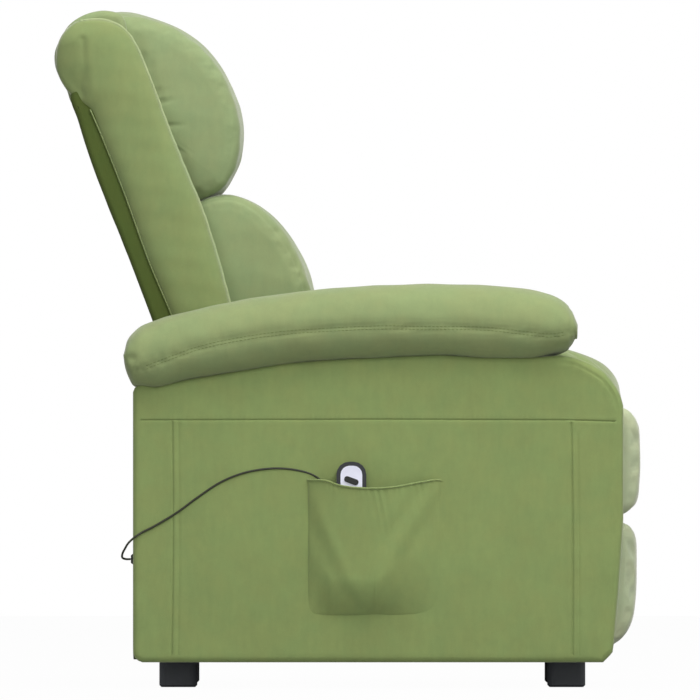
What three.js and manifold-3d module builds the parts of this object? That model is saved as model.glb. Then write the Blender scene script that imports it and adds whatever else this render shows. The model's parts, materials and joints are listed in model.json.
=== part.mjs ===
// A powered lift recliner armchair as an assembly of separate pieces, in millimetres.
// The sitter faces -Y, +Z is up and the origin is the bottom centre of the chair's box.
// The chair body rises on a floor frame and tips forward, the back reclines between the
// arms and the footrest folds out of the front on two parallelograms.
import * as THREE from "three";
import { mergeVertices } from "three/addons/utils/BufferGeometryUtils.js";
import Module from "manifold-3d";

const wasm = await Module();
wasm.setup();

// ---- Driving dimensions -----------------------------------------------------------------

const gap = 0.3; // between pieces that touch
const swingGap = 1; // beside plates that turn past each other
const roundSides = 12; // flats of a round bar

// Floor frame
const footHeight = 39;
const footSize = 56;
const footBevel = 3;
const footCorner = 8;
const frontFootY = -324;
const rearFootInset = 66; // rear foot centre ahead of the body rear
const baseRailHeight = 30;
const baseRailFrontY = -345;
const railPastFoot = 35;
const crossTubeDepth = 30;
const crossTubeHeight = 18;
const bracketRearY = -224;
const bracketLobe = 19; // radius of the bracket round its pivots

// Plates, links and pins of the mechanism
const plateThickness = 6;
const mechanismInset = 56; // of the mechanism plates and base brackets, from the arms
const linkThickness = 5;
const pinRadius = 6;
const pinHeadRadius = 9;
const pinHeadThickness = 3;
const linkHalfWidth = 11;
const pivotMargin = 20; // of a plate round its pivots
const liftLinkHalfWidth = 14;
const pinPlay = 0.4; // radial play of a pin in its link
const openPinPlay = 1.2; // the same where a closed linkage is opened
const footLinkOffset = 11; // from the mechanism plate's outer face to the first footrest link

// Lift linkage pivots (Y, Z)
const rearLinkBase = new THREE.Vector2(-245, 106);
const rearLinkTop = new THREE.Vector2(185, 118);
const frontLinkBase = new THREE.Vector2(-288, 88);
const frontLinkTop = new THREE.Vector2(43, 85);
const torqueTubeRadius = 12.5;
const torqueTubeReach = 120; // from the rear link's base pivot, along the link

// Lift actuator: from a clevis on the floor frame to lugs on the chair's tie tube
const actuatorBase = new THREE.Vector2(-305, 84);
const actuatorTop = new THREE.Vector2(-67, 262);
const clevisGap = 28; // between the ears of each clevis
const clevisEarThickness = 5;
const clevisEarRadius = 13;
const tieTubeRadius = 12.5;
const tieTubeSetback = 30; // from the rod's pivot to the tie tube's centre
const gearboxStart = 18;
const gearboxLength = 80;
const gearboxWidth = 54;
const gearboxHeight = 50;
const motorRadius = 24;
const motorLength = 96;
const motorOffset = 52; // of the motor's centre line below the rod's
const actuatorTubeRadius = 18;
const actuatorTubeWall = 5;
const actuatorTubeEnd = 252;
const rodRadius = 10;
const rodStart = 150;
const rodEyeRadius = 15;
const rodEyeThickness = 20;
const rodEyePlay = 3.4; // the rod's pivot is where the lift linkage is opened again

// Footrest linkage pivots (Y, Z)
const footPivot = new THREE.Vector2(-240, 235);
const footLinkDrop = new THREE.Vector2(80, -145);
const footBoardUpper = new THREE.Vector2(-334, 284);
const footBoardPitch = 45; // between the board's two pivots
const footCrossShare = 0.2; // where the crank meets the long link, along it

// Chair body
const seatWidth = 510; // clear width between the arm pads
const armPadWidth = 150;
const padOverhang = 32; // of the arm pad past the side panel
const armInset = 7; // of the arm's inner panel behind the pad's inner face
const sidePanelThickness = 16;
const innerPanelThickness = 12;
const facingThickness = 14;
const panelClearance = 38; // under the side panels
const bodyRearY = 316;
const bodyFrontY = -407;
const panelCornerRadius = 14;
const frontLean = 14; // how far the front edge draws back at the bottom
const frontLeanTopZ = 250;
const frontTopRadiusY = 97; // of the rounded front top corner
const frontTopRadiusZ = 91;
const frontTopZ = 488;
const valanceTopZ = 345;
const bodyInnerGap = 1; // between the seat cushion and the arm pads

// Arm pad outline
const padCrownZ = 596;
const padCrownY = -125;
const padRearZ = 549;
const padFrontFall = 24; // below the crown, one rear run ahead of it
const padRearY = 265;
const padFrontStartY = -234;
const padFrontY = -339;
const padNoseZ = 540;
const padNoseFootY = -275;
const padHeelY = 330;
const padHeelZ = 490;
const padHeelFootY = 305;
const padUnderZ = 485;
const padUnderFall = 42; // of the underside, from the crown back to the heel
const padSeatGap = 0.6;
const padEdgeRadius = 40;

// Seat
const seatRailHeight = 45;
const seatRailBottomZ = 290;
const seatRailRearY = 262;
const seatRailFrontY = -325;
const seatSideRailFrontY = -320;
const seatCrossThickness = 25;
const seatRearRailY = 145;
const springThickness = 4;
const springWidth = 12;
const springCount = 5;
const springInset = 46; // of the outer springs' centres, from the mechanism plates
const springTies = 2; // strips across the springs
const seatRearY = 50;
const seatRearTopZ = 476;
const seatCrownZ = 500;
const seatNoseY = -411;
const seatNoseZ = 428;
const seatLipZ = 416;
const seatEdgeRadius = 26;

// Back, in its own frame: origin at the recline hinge, turned by the tilt
const backTilt = 20; // degrees from vertical
const backHinge = new THREE.Vector2(200, 340);
const backShellRear = 17;
const backShellBottom = 28;
const backRollTop = 674;
const backRollRear = 21;
const backRollFoot = 562;
const backShellEdge = 5;
const backBoardThickness = 18;
const backBoardBottom = 20;
const hingePlateReach = 92; // up the upright from the hinge
const hingePlateKnee = 18;
const hingePlateHalfWidth = 16;
const backFrameDepth = 38;
const backFrameFront = -45;
const uprightWidth = 38;
const uprightBottom = -24;
const uprightTop = 548;
const wingThickness = 56;
const wingSideGap = 3; // between the wing and the arm pad
const wingFront = -110;
const wingBottom = 118;
const wingTop = 674;
const headrestTop = 679;
const headrestFront = -212;
const headrestBottom = 362;
const headrestNoseZ = 505;
const lumbarTop = 366;
const lumbarFront = -223;
const lumbarBottom = 84;
const cushionEdgeRadius = 28;

// Footrest
const boardThickness = 13;
const boardBackY = -349;
const boardBottomZ = 60;
const boardTopZ = 390;
const boardInset = 6; // of the board's ends behind the pads' ends
const boardTabHalfWidth = 11;
const upperPadTop = 414;
const upperPadFront = -432;
const upperPadBottom = 250;
const lowerPadTop = 244;
const lowerPadFront = -427;
const lowerPadBottom = 50;
const footPadSideGap = 2;
const footPadEdgeRadius = 24;

// Pocket, handset and cord on the sitter's right side
const pocketRearY = 62;
const pocketFrontY = -142;
const pocketBottomZ = 104;
const pocketHemZ = 306;
const pocketHemDip = 11;
const pocketDepth = 27;
const pocketFoldHeight = 3.5;
const pocketFootShare = 0.28; // of the height that the foot takes to swell to full depth
const pocketThickness = 2;
const handsetWidth = 44;
const handsetThickness = 20;
const handsetHeight = 165;
const handsetTopZ = 334;
const handsetY = -6;
const handsetStandOff = 2; // between the handset's back and the side panel
const facePlateInset = 6;
const facePlateThickness = 1;
const handsetCorner = 19;
const facePlateCorner = 13;
const buttonLength = 21;
const buttonWidth = 8;
const buttonRise = 1.6;
const buttonTilt = 20; // degrees
const buttonTopOffset = 28; // from the handset's top to the upper button's centre
const buttonPitch = 24;
const buttonTravel = 1;
const buttonPlay = 0.4;
const buttonWell = 4.5; // depth of the well behind each button
const reliefRadius = 4;
const reliefLength = 12;
const grommetZ = 190;
const grommetInset = 19; // from the side panel's inner face
const grommetRadius = 8;
const grommetRise = 3;
const cordDiameter = 3.2;
const cordSides = 8;
const cordSteps = 70;

// Control box with the mains inlet
const controlX = -95;
const controlZ = 208;
const controlWidth = 110;
const controlHeight = 56;
const controlDepth = 38;
const inletWidth = 34;
const inletHeight = 26;
const inletProud = 2;
const inletWell = 12;

// ---- Sizes that follow ------------------------------------------------------------------

const armPadInnerX = seatWidth / 2;
const armPadOuterX = armPadInnerX + armPadWidth;
const sideOuterX = armPadOuterX - padOverhang;
const sideInnerX = sideOuterX - sidePanelThickness;
const armInnerX = armPadInnerX + armInset;
const armBackBottomZ = panelClearance + panelCornerRadius;
const plateInnerX = armInnerX - mechanismInset;
const plateOuterX = plateInnerX + plateThickness;
const footLinkPitch = linkThickness + swingGap;
const footRearX = plateOuterX + footLinkOffset; // inner faces of the footrest links
const footLongX = footRearX + footLinkPitch;
const footCrankX = footLongX + footLinkPitch;
const baseRailInnerX = footCrankX + footLinkPitch;
const baseRailOuterX = armInnerX - swingGap;
const baseRailBottomZ = footHeight + gap;
const crossTubeTopZ = baseRailBottomZ + crossTubeHeight;
const footX = baseRailOuterX - footSize / 2;
const rearFootY = bodyRearY - rearFootInset;
const baseRailRearY = rearFootY + railPastFoot;
const seatRailTopZ = seatRailBottomZ + seatRailHeight;
const seatRailInnerX = plateOuterX + gap;
const seatBottomZ = seatRailTopZ + springThickness + 2 * gap;
const frontRailBackY = seatRailFrontY + seatCrossThickness;
const wingOuterX = armPadInnerX - wingSideGap;
const wingInnerX = wingOuterX - wingThickness;
const uprightOuterX = wingInnerX - gap;
const backFrameRear = backFrameFront + backFrameDepth;
const backShellFront = backFrameRear + gap;
const wingRear = backShellFront - gap;
const cushionRear = backFrameFront - gap;
const cushionHalfWidth = wingInnerX - gap;
const springSpread = 2 * (plateInnerX - springInset);
const footPadHalfWidth = armPadInnerX - footPadSideGap;
const boardHalfWidth = footPadHalfWidth - boardInset;
const grommetX = grommetInset - sideInnerX;
const footBoardLower = new THREE.Vector2(footBoardUpper.x, footBoardUpper.y - footBoardPitch);
const footElbow = footPivot.clone().add(footLinkDrop);
const footCrossOffset = footBoardUpper.clone().sub(footElbow).multiplyScalar(footCrossShare);
const crankPivot = footPivot.clone().add(footCrossOffset);
const crankCross = footElbow.clone().add(footCrossOffset);
const crankEnd = crankCross.clone().sub(new THREE.Vector2(0, footBoardPitch));
const liftRearX = plateInnerX - swingGap - linkThickness; // inner face of the rear lift links
const liftFrontX = plateOuterX + swingGap; // inner face of the front lift links

// ---- Finishes -----------------------------------------------------------------------------

const finishes = {
  velvet: new THREE.MeshStandardMaterial({ color: 0x8b9a62, roughness: 0.85, metalness: 0 }),
  lining: new THREE.MeshStandardMaterial({ color: 0x54653a, roughness: 0.9, metalness: 0 }),
  timber: new THREE.MeshStandardMaterial({ color: 0xb98f5c, roughness: 0.6, metalness: 0 }),
  frameSteel: new THREE.MeshStandardMaterial({ color: 0x2b2c2e, roughness: 0.45, metalness: 0.6 }),
  linkSteel: new THREE.MeshStandardMaterial({ color: 0x8d9093, roughness: 0.35, metalness: 0.9 }),
  springSteel: new THREE.MeshStandardMaterial({ color: 0x6c6f72, roughness: 0.4, metalness: 0.9 }),
  blackPlastic: new THREE.MeshStandardMaterial({ color: 0x2d2e30, roughness: 0.55, metalness: 0 }),
  palePlastic: new THREE.MeshStandardMaterial({ color: 0xdadaec, roughness: 0.4, metalness: 0 }),
  rubber: new THREE.MeshStandardMaterial({ color: 0x26282a, roughness: 0.7, metalness: 0 }),
};

// ---- Solid helpers ------------------------------------------------------------------------

function toSolid(geometry) {
  const bare = geometry.index ? geometry.toNonIndexed() : geometry.clone();
  bare.deleteAttribute("normal");
  bare.deleteAttribute("uv");
  const merged = mergeVertices(bare, 1e-4);
  const mesh = new wasm.Mesh({
    numProp: 3,
    vertProperties: merged.attributes.position.array,
    triVerts: new Uint32Array(merged.index.array),
  });
  return new wasm.Manifold(mesh);
}

function toGeometry(solid) {
  const mesh = solid.getMesh();
  const geometry = new THREE.BufferGeometry();
  geometry.setAttribute("position", new THREE.BufferAttribute(new Float32Array(mesh.vertProperties), 3));
  geometry.setIndex(new THREE.BufferAttribute(new Uint32Array(mesh.triVerts), 1));
  geometry.computeVertexNormals();
  return geometry;
}

function fuse(...geometries) {
  const solids = geometries.map(toSolid);
  return toGeometry(solids.reduce((whole, piece) => whole.add(piece)));
}

function cut(geometry, ...tools) {
  const solids = tools.map(toSolid);
  return toGeometry(solids.reduce((whole, tool) => whole.subtract(tool), toSolid(geometry)));
}

// A box between two corners.
function block(x0, x1, y0, y1, z0, z1) {
  const geometry = new THREE.BoxGeometry(Math.abs(x1 - x0), Math.abs(y1 - y0), Math.abs(z1 - z0));
  return geometry.translate((x0 + x1) / 2, (y0 + y1) / 2, (z0 + z1) / 2);
}

// A round bar along X between x0 and x1, centred on a (Y, Z) point.
function crossBar(radius, x0, x1, centre, sides = roundSides) {
  const geometry = new THREE.CylinderGeometry(radius, radius, Math.abs(x1 - x0), sides);
  return geometry.rotateZ(Math.PI / 2).translate((x0 + x1) / 2, centre.x, centre.y);
}

const sideways = new THREE.Matrix4().makeBasis(
  new THREE.Vector3(0, 1, 0),
  new THREE.Vector3(0, 0, 1),
  new THREE.Vector3(1, 0, 0),
);

// An outline in (Y, Z) pushed out along X between x0 and x1.
function sidePlate(shape, x0, x1, curveSegments = 8) {
  const settings = { depth: Math.abs(x1 - x0), bevelEnabled: false, curveSegments };
  const geometry = new THREE.ExtrudeGeometry(shape, settings);
  return geometry.applyMatrix4(sideways).translate(Math.min(x0, x1), 0, 0);
}

function shapeOf(points) {
  const shape = new THREE.Shape();
  points.forEach((point, index) => {
    if (index === 0) shape.moveTo(point[0], point[1]);
    else shape.lineTo(point[0], point[1]);
  });
  shape.closePath();
  return shape;
}

// A flat bar with round ends through a row of pivots.
function linkBar(pivots, halfWidth, x0, x1) {
  const arms = [];
  for (let i = 1; i < pivots.length; i += 1) {
    const along = pivots[i].clone().sub(pivots[i - 1]);
    const turn = Math.atan2(along.y, along.x);
    const shape = new THREE.Shape();
    shape.absarc(pivots[i].x, pivots[i].y, halfWidth, turn - Math.PI / 2, turn + Math.PI / 2, false);
    const start = turn + Math.PI / 2;
    shape.absarc(pivots[i - 1].x, pivots[i - 1].y, halfWidth, start, start + Math.PI, false);
    shape.closePath();
    arms.push(sidePlate(shape, x0, x1, 5));
  }
  return arms.length === 1 ? arms[0] : fuse(...arms);
}

// Holes of a given radius through everything between x0 and x1.
function drill(geometry, pivots, radius, x0, x1) {
  return cut(geometry, ...pivots.map((pivot) => crossBar(radius, x0 - 1, x1 + 1, pivot)));
}

// A pin along X with a round head at its free end, growing from the plate's face at rootX.
function headedPin(pivot, rootX, endX) {
  const outwards = Math.sign(endX - rootX);
  const shank = crossBar(pinRadius, rootX - outwards, endX + outwards, pivot);
  const head = crossBar(pinHeadRadius, endX, endX + outwards * pinHeadThickness, pivot);
  return fuse(shank, head);
}

// ---- Soft forms ---------------------------------------------------------------------------

function outlineOf(points) {
  return points.map(([y, z]) => new THREE.Vector2(y, z));
}

// Closed skin over rings of points that all hold the same number, capped by a point each end.
function skinOver(rings) {
  const count = rings[0].length;
  const positions = [];
  const index = [];
  rings.forEach((ring) => ring.forEach((point) => positions.push(point.x, point.y, point.z)));
  for (let r = 1; r < rings.length; r += 1) {
    for (let k = 0; k < count; k += 1) {
      const next = (k + 1) % count;
      const a = (r - 1) * count + k;
      const b = (r - 1) * count + next;
      const c = r * count + k;
      const d = r * count + next;
      index.push(a, b, c, b, d, c);
    }
  }
  const capOf = (ring) => {
    const centre = new THREE.Vector3();
    ring.forEach((point) => centre.add(point));
    return centre.multiplyScalar(1 / count);
  };
  const first = capOf(rings[0]);
  const last = capOf(rings[rings.length - 1]);
  const firstIndex = positions.length / 3;
  positions.push(first.x, first.y, first.z, last.x, last.y, last.z);
  const lastRow = (rings.length - 1) * count;
  for (let k = 0; k < count; k += 1) {
    const next = (k + 1) % count;
    index.push(firstIndex, next, k);
    index.push(firstIndex + 1, lastRow + k, lastRow + next);
  }
  const geometry = new THREE.BufferGeometry();
  geometry.setAttribute("position", new THREE.Float32BufferAttribute(positions, 3));
  geometry.setIndex(index);
  geometry.computeVertexNormals();
  return geometry;
}

// A padded form: a (Y, Z) outline carried across X, rounded over at its two ends and drawn in
// by the crown towards them. The outline runs anticlockwise, seen with +Y to the right.
function padded({ outline, x0, x1, edgeRadius, crown = 0, bands = 4 }) {
  const profile = outline;
  const box = new THREE.Box2().setFromPoints(profile);
  const centre = box.getCenter(new THREE.Vector2());
  const reach = box.getSize(new THREE.Vector2()).multiplyScalar(0.5);
  const edgeSteps = 3;
  const flatWidth = x1 - x0 - 2 * edgeRadius;
  const ringAt = (x, inset) => {
    const scaleY = (reach.x - inset) / reach.x;
    const scaleZ = (reach.y - inset) / reach.y;
    return profile.map((point) => {
      const y = centre.x + (point.x - centre.x) * scaleY;
      const z = centre.y + (point.y - centre.y) * scaleZ;
      return new THREE.Vector3(x, y, z);
    });
  };
  const edgeRing = (step, edgeX, inwards) => {
    const angle = (Math.PI / 2) * (step / edgeSteps);
    const x = edgeX + inwards * edgeRadius * (1 - Math.cos(angle));
    return ringAt(x, edgeRadius * (1 - Math.sin(angle)) + crown);
  };
  const rings = [];
  for (let step = 0; step <= edgeSteps; step += 1) rings.push(edgeRing(step, x0, 1));
  for (let band = 1; band < bands; band += 1) {
    const share = band / bands;
    rings.push(ringAt(x0 + edgeRadius + flatWidth * share, crown * (1 - Math.sin(Math.PI * share))));
  }
  for (let step = edgeSteps; step >= 0; step -= 1) rings.push(edgeRing(step, x1, -1));
  return skinOver(rings);
}

function arcPoints(centreY, centreZ, radiusY, radiusZ, from, to, steps) {
  const points = [];
  for (let i = 0; i <= steps; i += 1) {
    const angle = THREE.MathUtils.degToRad(from + ((to - from) * i) / steps);
    points.push([centreY + radiusY * Math.cos(angle), centreZ + radiusZ * Math.sin(angle)]);
  }
  return points;
}

function curvePoints(knots, steps) {
  const curve = new THREE.SplineCurve(knots.map(([y, z]) => new THREE.Vector2(y, z)));
  return curve.getPoints(steps).map((point) => [point.x, point.y]);
}

// ---- Scene graph --------------------------------------------------------------------------

const chair = new THREE.Group();

function addPiece(parent, name, geometry, material) {
  const mesh = new THREE.Mesh(geometry, material);
  mesh.name = name;
  parent.add(mesh);
  return mesh;
}

const sides = [
  { name: "left", sign: 1 },
  { name: "right", sign: -1 },
];

// The two faces, in rising X, of a piece that starts at innerX on one side of the chair.
function edgesFrom(sign, innerX, thickness) {
  return [sign * innerX, sign * (innerX + thickness)].sort((a, b) => a - b);
}

// ---- Floor frame --------------------------------------------------------------------------

function footGeometry() {
  const half = footSize / 2 - footBevel;
  const shape = new THREE.Shape();
  shape.absarc(half - footCorner, half - footCorner, footCorner, 0, Math.PI / 2);
  shape.absarc(footCorner - half, half - footCorner, footCorner, Math.PI / 2, Math.PI);
  shape.absarc(footCorner - half, footCorner - half, footCorner, Math.PI, Math.PI * 1.5);
  shape.absarc(half - footCorner, footCorner - half, footCorner, Math.PI * 1.5, Math.PI * 2);
  shape.closePath();
  const settings = {
    depth: footHeight - 2 * footBevel,
    bevelEnabled: true,
    bevelSize: footBevel,
    bevelThickness: footBevel,
    bevelSegments: 1,
    curveSegments: 2,
  };
  return new THREE.ExtrudeGeometry(shape, settings).translate(0, 0, footBevel);
}

function bracketShape() {
  const shape = new THREE.Shape();
  shape.moveTo(baseRailFrontY, crossTubeTopZ + gap);
  shape.lineTo(bracketRearY, crossTubeTopZ + gap);
  shape.lineTo(bracketRearY, rearLinkBase.y);
  for (const [pivot, start, end] of [[rearLinkBase, 0, 120], [frontLinkBase, 90, 180]]) {
    arcPoints(pivot.x, pivot.y, bracketLobe, bracketLobe, start, end, 5)
      .forEach(([y, z]) => shape.lineTo(y, z));
  }
  shape.closePath();
  return shape;
}

function addFloorFrame(parent) {
  const crossHalfWidth = baseRailInnerX - gap;
  for (const { name, sign } of sides) {
    const inner = sign * baseRailInnerX;
    const outer = sign * baseRailOuterX;
    const railTopZ = baseRailBottomZ + baseRailHeight;
    const rail = block(inner, outer, baseRailFrontY, baseRailRearY, baseRailBottomZ, railTopZ);
    addPiece(parent, `base_rail_${name}`, rail, finishes.frameSteel);
    for (const [place, y] of [["front", frontFootY], ["rear", rearFootY]]) {
      const foot = addPiece(parent, `foot_${place}_${name}`, footGeometry(), finishes.blackPlastic);
      foot.position.set(sign * footX, y, 0);
    }
  }
  const frontTubeY = baseRailFrontY;
  const rearTubeY = rearFootY - crossTubeDepth / 2;
  const crossTube = (y) => block(
    -crossHalfWidth, crossHalfWidth, y, y + crossTubeDepth, baseRailBottomZ, crossTubeTopZ,
  );
  addPiece(parent, "base_cross_rear", crossTube(rearTubeY), finishes.frameSteel);
  const frontTube = fuse(crossTube(frontTubeY), ...actuatorClevis());
  addPiece(parent, "base_cross_front", frontTube, finishes.frameSteel);
  for (const { name, sign } of sides) {
    const plate = sidePlate(bracketShape(), sign * plateInnerX, sign * plateOuterX);
    const rearPin = headedPin(rearLinkBase, sign * plateInnerX, sign * (liftRearX - pinPlay));
    const frontPin = headedPin(
      frontLinkBase, sign * plateOuterX, sign * (liftFrontX + linkThickness + pinPlay),
    );
    addPiece(parent, `base_bracket_${name}`, fuse(plate, rearPin, frontPin), finishes.frameSteel);
  }
}

// Two ears that rise from the front cross tube, with the pin between them.
function actuatorClevis() {
  const pieces = [];
  const foot = baseRailFrontY + crossTubeDepth;
  for (const { sign } of sides) {
    const shape = new THREE.Shape();
    shape.moveTo(foot - 2 * clevisEarRadius, crossTubeTopZ - 4);
    shape.lineTo(foot, crossTubeTopZ - 4);
    arcPoints(actuatorBase.x, actuatorBase.y, clevisEarRadius, clevisEarRadius, -40, 160, 8)
      .forEach(([y, z]) => shape.lineTo(y, z));
    shape.closePath();
    const inner = (sign * clevisGap) / 2;
    pieces.push(sidePlate(shape, inner, inner + sign * clevisEarThickness));
  }
  pieces.push(crossBar(pinRadius, -clevisGap / 2 - 1, clevisGap / 2 + 1, actuatorBase));
  return pieces;
}

// ---- Lift linkage and actuator --------------------------------------------------------------

function addLiftLinks(parent) {
  const rearPivots = [rearLinkBase, rearLinkTop];
  const frontPivots = [frontLinkBase, frontLinkTop];
  for (const { name, sign } of sides) {
    const rearEdges = edgesFrom(sign, liftRearX, linkThickness);
    const rearBar = linkBar(rearPivots, liftLinkHalfWidth, ...rearEdges);
    const rearLink = drill(rearBar, rearPivots, pinRadius + pinPlay, ...rearEdges);
    addPiece(parent, `lift_rear_link_${name}`, rearLink, finishes.linkSteel);
    const frontEdges = edgesFrom(sign, liftFrontX, linkThickness);
    const frontBar = linkBar(frontPivots, liftLinkHalfWidth, ...frontEdges);
    const atBase = drill(frontBar, [frontLinkBase], pinRadius + pinPlay, ...frontEdges);
    const frontLink = drill(atBase, [frontLinkTop], pinRadius + openPinPlay, ...frontEdges);
    addPiece(parent, `lift_front_link_${name}`, frontLink, finishes.linkSteel);
  }
  const along = rearLinkTop.clone().sub(rearLinkBase).normalize();
  const tubeCentre = rearLinkBase.clone().addScaledVector(along, torqueTubeReach);
  const tubeEnd = liftRearX - gap;
  const tube = crossBar(torqueTubeRadius, -tubeEnd, tubeEnd, tubeCentre);
  addPiece(parent, "lift_torque_tube", tube, finishes.linkSteel);
}

const actuatorAxis = actuatorTop.clone().sub(actuatorBase);
const actuatorLength = actuatorAxis.length();

// The actuator is built along local +Z from its base pivot.
function addActuator(parent) {
  const group = new THREE.Group();
  group.position.set(0, actuatorBase.x, actuatorBase.y);
  group.rotation.x = Math.atan2(-actuatorAxis.x, actuatorAxis.y);
  parent.add(group);
  const origin = new THREE.Vector2(0, 0);
  const lugHalf = clevisGap / 2 - swingGap;
  const gearboxEnd = gearboxStart + gearboxLength;
  const gearbox = block(
    -gearboxWidth / 2, gearboxWidth / 2, -gearboxHeight / 2, gearboxHeight / 2, gearboxStart, gearboxEnd,
  );
  const lug = fuse(
    crossBar(clevisEarRadius - 2, -lugHalf, lugHalf, origin),
    block(-lugHalf, lugHalf, -clevisEarRadius + 4, clevisEarRadius - 4, 0, gearboxStart + 1),
  );
  const motor = new THREE.CylinderGeometry(motorRadius, motorRadius, motorLength, 20);
  motor.rotateX(Math.PI / 2).translate(0, -motorOffset, gearboxStart + 4 + motorLength / 2);
  const bridge = block(
    -motorRadius * 0.8, motorRadius * 0.8, -motorOffset, 0, gearboxStart, gearboxStart + gearboxLength / 2,
  );
  const bore = actuatorTubeRadius - actuatorTubeWall;
  const tubeFoot = gearboxEnd - 1;
  const tubeProfile = [
    [bore, tubeFoot],
    [actuatorTubeRadius, tubeFoot],
    [actuatorTubeRadius, actuatorTubeEnd],
    [rodRadius + 2 * gap, actuatorTubeEnd],
    [rodRadius + 2 * gap, actuatorTubeEnd - 6],
    [bore, actuatorTubeEnd - 6],
    [bore, tubeFoot],
  ].map(([radius, height]) => new THREE.Vector2(radius, height));
  const tube = new THREE.LatheGeometry(tubeProfile, 20).rotateX(Math.PI / 2);
  const unit = fuse(gearbox, lug, motor, bridge, tube);
  const drilled = drill(unit, [origin], pinRadius + pinPlay, -lugHalf, lugHalf);
  addPiece(group, "lift_motor_unit", drilled, finishes.blackPlastic);

  const eyeCentre = new THREE.Vector2(0, actuatorLength);
  const rodEnd = actuatorLength - rodEyeRadius + 3;
  const rod = new THREE.CylinderGeometry(rodRadius, rodRadius, rodEnd - rodStart, 20);
  rod.rotateX(Math.PI / 2).translate(0, 0, (rodEnd + rodStart) / 2);
  const eye = crossBar(rodEyeRadius, -rodEyeThickness / 2, rodEyeThickness / 2, eyeCentre);
  const rodGeometry = drill(
    fuse(rod, eye), [eyeCentre], pinRadius + rodEyePlay, -rodEyeThickness / 2, rodEyeThickness / 2,
  );
  addPiece(group, "lift_actuator_rod", rodGeometry, finishes.linkSteel);
}

// ---- Chair body: mechanism and seat ---------------------------------------------------------

// The plate reaches from the footrest pivots at the front to the recline hinge at the rear and
// hangs down to the two lift pivots.
function mechanismPlateShape() {
  const frontY = crankPivot.x - pivotMargin;
  const hingeFront = backHinge.x - hingePlateHalfWidth;
  return shapeOf([
    [frontY, seatRailTopZ],
    [frontY, crankPivot.y - pivotMargin],
    [footPivot.x - pivotMargin, footPivot.y - pivotMargin],
    [footPivot.x + pivotMargin, footPivot.y - pivotMargin],
    [actuatorTop.x - 60, actuatorTop.y - pivotMargin],
    [frontLinkTop.x - 75, actuatorTop.y - pivotMargin],
    [frontLinkTop.x - pivotMargin, frontLinkTop.y - 8],
    [frontLinkTop.x + 8, frontLinkTop.y - pivotMargin],
    [rearLinkTop.x + 4, rearLinkTop.y - pivotMargin],
    [rearLinkTop.x + pivotMargin, rearLinkTop.y],
    [backHinge.x + pivotMargin, backHinge.y - 10],
    [backHinge.x + 12, backHinge.y + pivotMargin - 2],
    [backHinge.x - 12, backHinge.y + pivotMargin - 2],
    [hingeFront - 12, seatRailTopZ],
  ]);
}

function addMechanism(parent) {
  for (const { name, sign } of sides) {
    const plate = fuse(
      sidePlate(mechanismPlateShape(), sign * plateInnerX, sign * plateOuterX),
      headedPin(rearLinkTop, sign * plateInnerX, sign * (liftRearX - pinPlay)),
      headedPin(backHinge, sign * plateInnerX, sign * (liftRearX - pinPlay)),
      headedPin(frontLinkTop, sign * plateOuterX, sign * (liftFrontX + linkThickness + pinPlay)),
      headedPin(footPivot, sign * plateOuterX, sign * (footRearX + linkThickness + pinPlay)),
      headedPin(crankPivot, sign * plateOuterX, sign * (footCrankX + linkThickness + pinPlay)),
    );
    addPiece(parent, `mechanism_plate_${name}`, plate, finishes.frameSteel);
  }
  const setback = actuatorAxis.clone().normalize().multiplyScalar(tieTubeSetback);
  const tieCentre = actuatorTop.clone().add(setback);
  const tieEnd = plateInnerX - gap;
  const lugs = sides.map(({ sign }) => {
    const edges = edgesFrom(sign, clevisGap / 2, clevisEarThickness);
    return linkBar([actuatorTop, tieCentre], clevisEarRadius - 2, ...edges);
  });
  const pin = crossBar(pinRadius, -clevisGap / 2 - 1, clevisGap / 2 + 1, actuatorTop);
  const tie = fuse(crossBar(tieTubeRadius, -tieEnd, tieEnd, tieCentre), ...lugs, pin);
  addPiece(parent, "mechanism_tie", tie, finishes.frameSteel);
}

function addSeatFrame(parent) {
  const railOuterX = armInnerX - gap;
  for (const { name, sign } of sides) {
    const rail = block(
      sign * seatRailInnerX, sign * railOuterX,
      seatSideRailFrontY, seatRailRearY, seatRailBottomZ, seatRailTopZ,
    );
    addPiece(parent, `seat_rail_${name}`, rail, finishes.timber);
  }
  const frontHalf = seatRailInnerX - gap;
  const rearHalf = plateInnerX - gap;
  const front = block(-frontHalf, frontHalf, seatRailFrontY, frontRailBackY, seatRailBottomZ, seatRailTopZ);
  const rearEndY = seatRearRailY - seatCrossThickness;
  const rear = block(-rearHalf, rearHalf, rearEndY, seatRearRailY, seatRailBottomZ, seatRailTopZ);
  addPiece(parent, "seat_rail_front", front, finishes.timber);
  addPiece(parent, "seat_rail_rear", rear, finishes.timber);
  const bottom = seatRailTopZ + gap;
  const top = bottom + springThickness;
  const matFrontY = seatRailFrontY + 4;
  const matRearY = seatRearRailY - 4;
  const strips = [];
  for (let i = 0; i < springCount; i += 1) {
    const x = springSpread * (i / (springCount - 1) - 0.5);
    strips.push(block(x - springWidth / 2, x + springWidth / 2, matFrontY, matRearY, bottom, top));
  }
  for (let i = 1; i <= springTies; i += 1) {
    const y = matFrontY + ((matRearY - matFrontY) * i) / (springTies + 1);
    const halfWidth = springWidth / 2;
    strips.push(block(-springSpread / 2, springSpread / 2, y - halfWidth, y + halfWidth, bottom, top));
  }
  addPiece(parent, "seat_spring_mat", fuse(...strips), finishes.springSteel);
}

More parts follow.
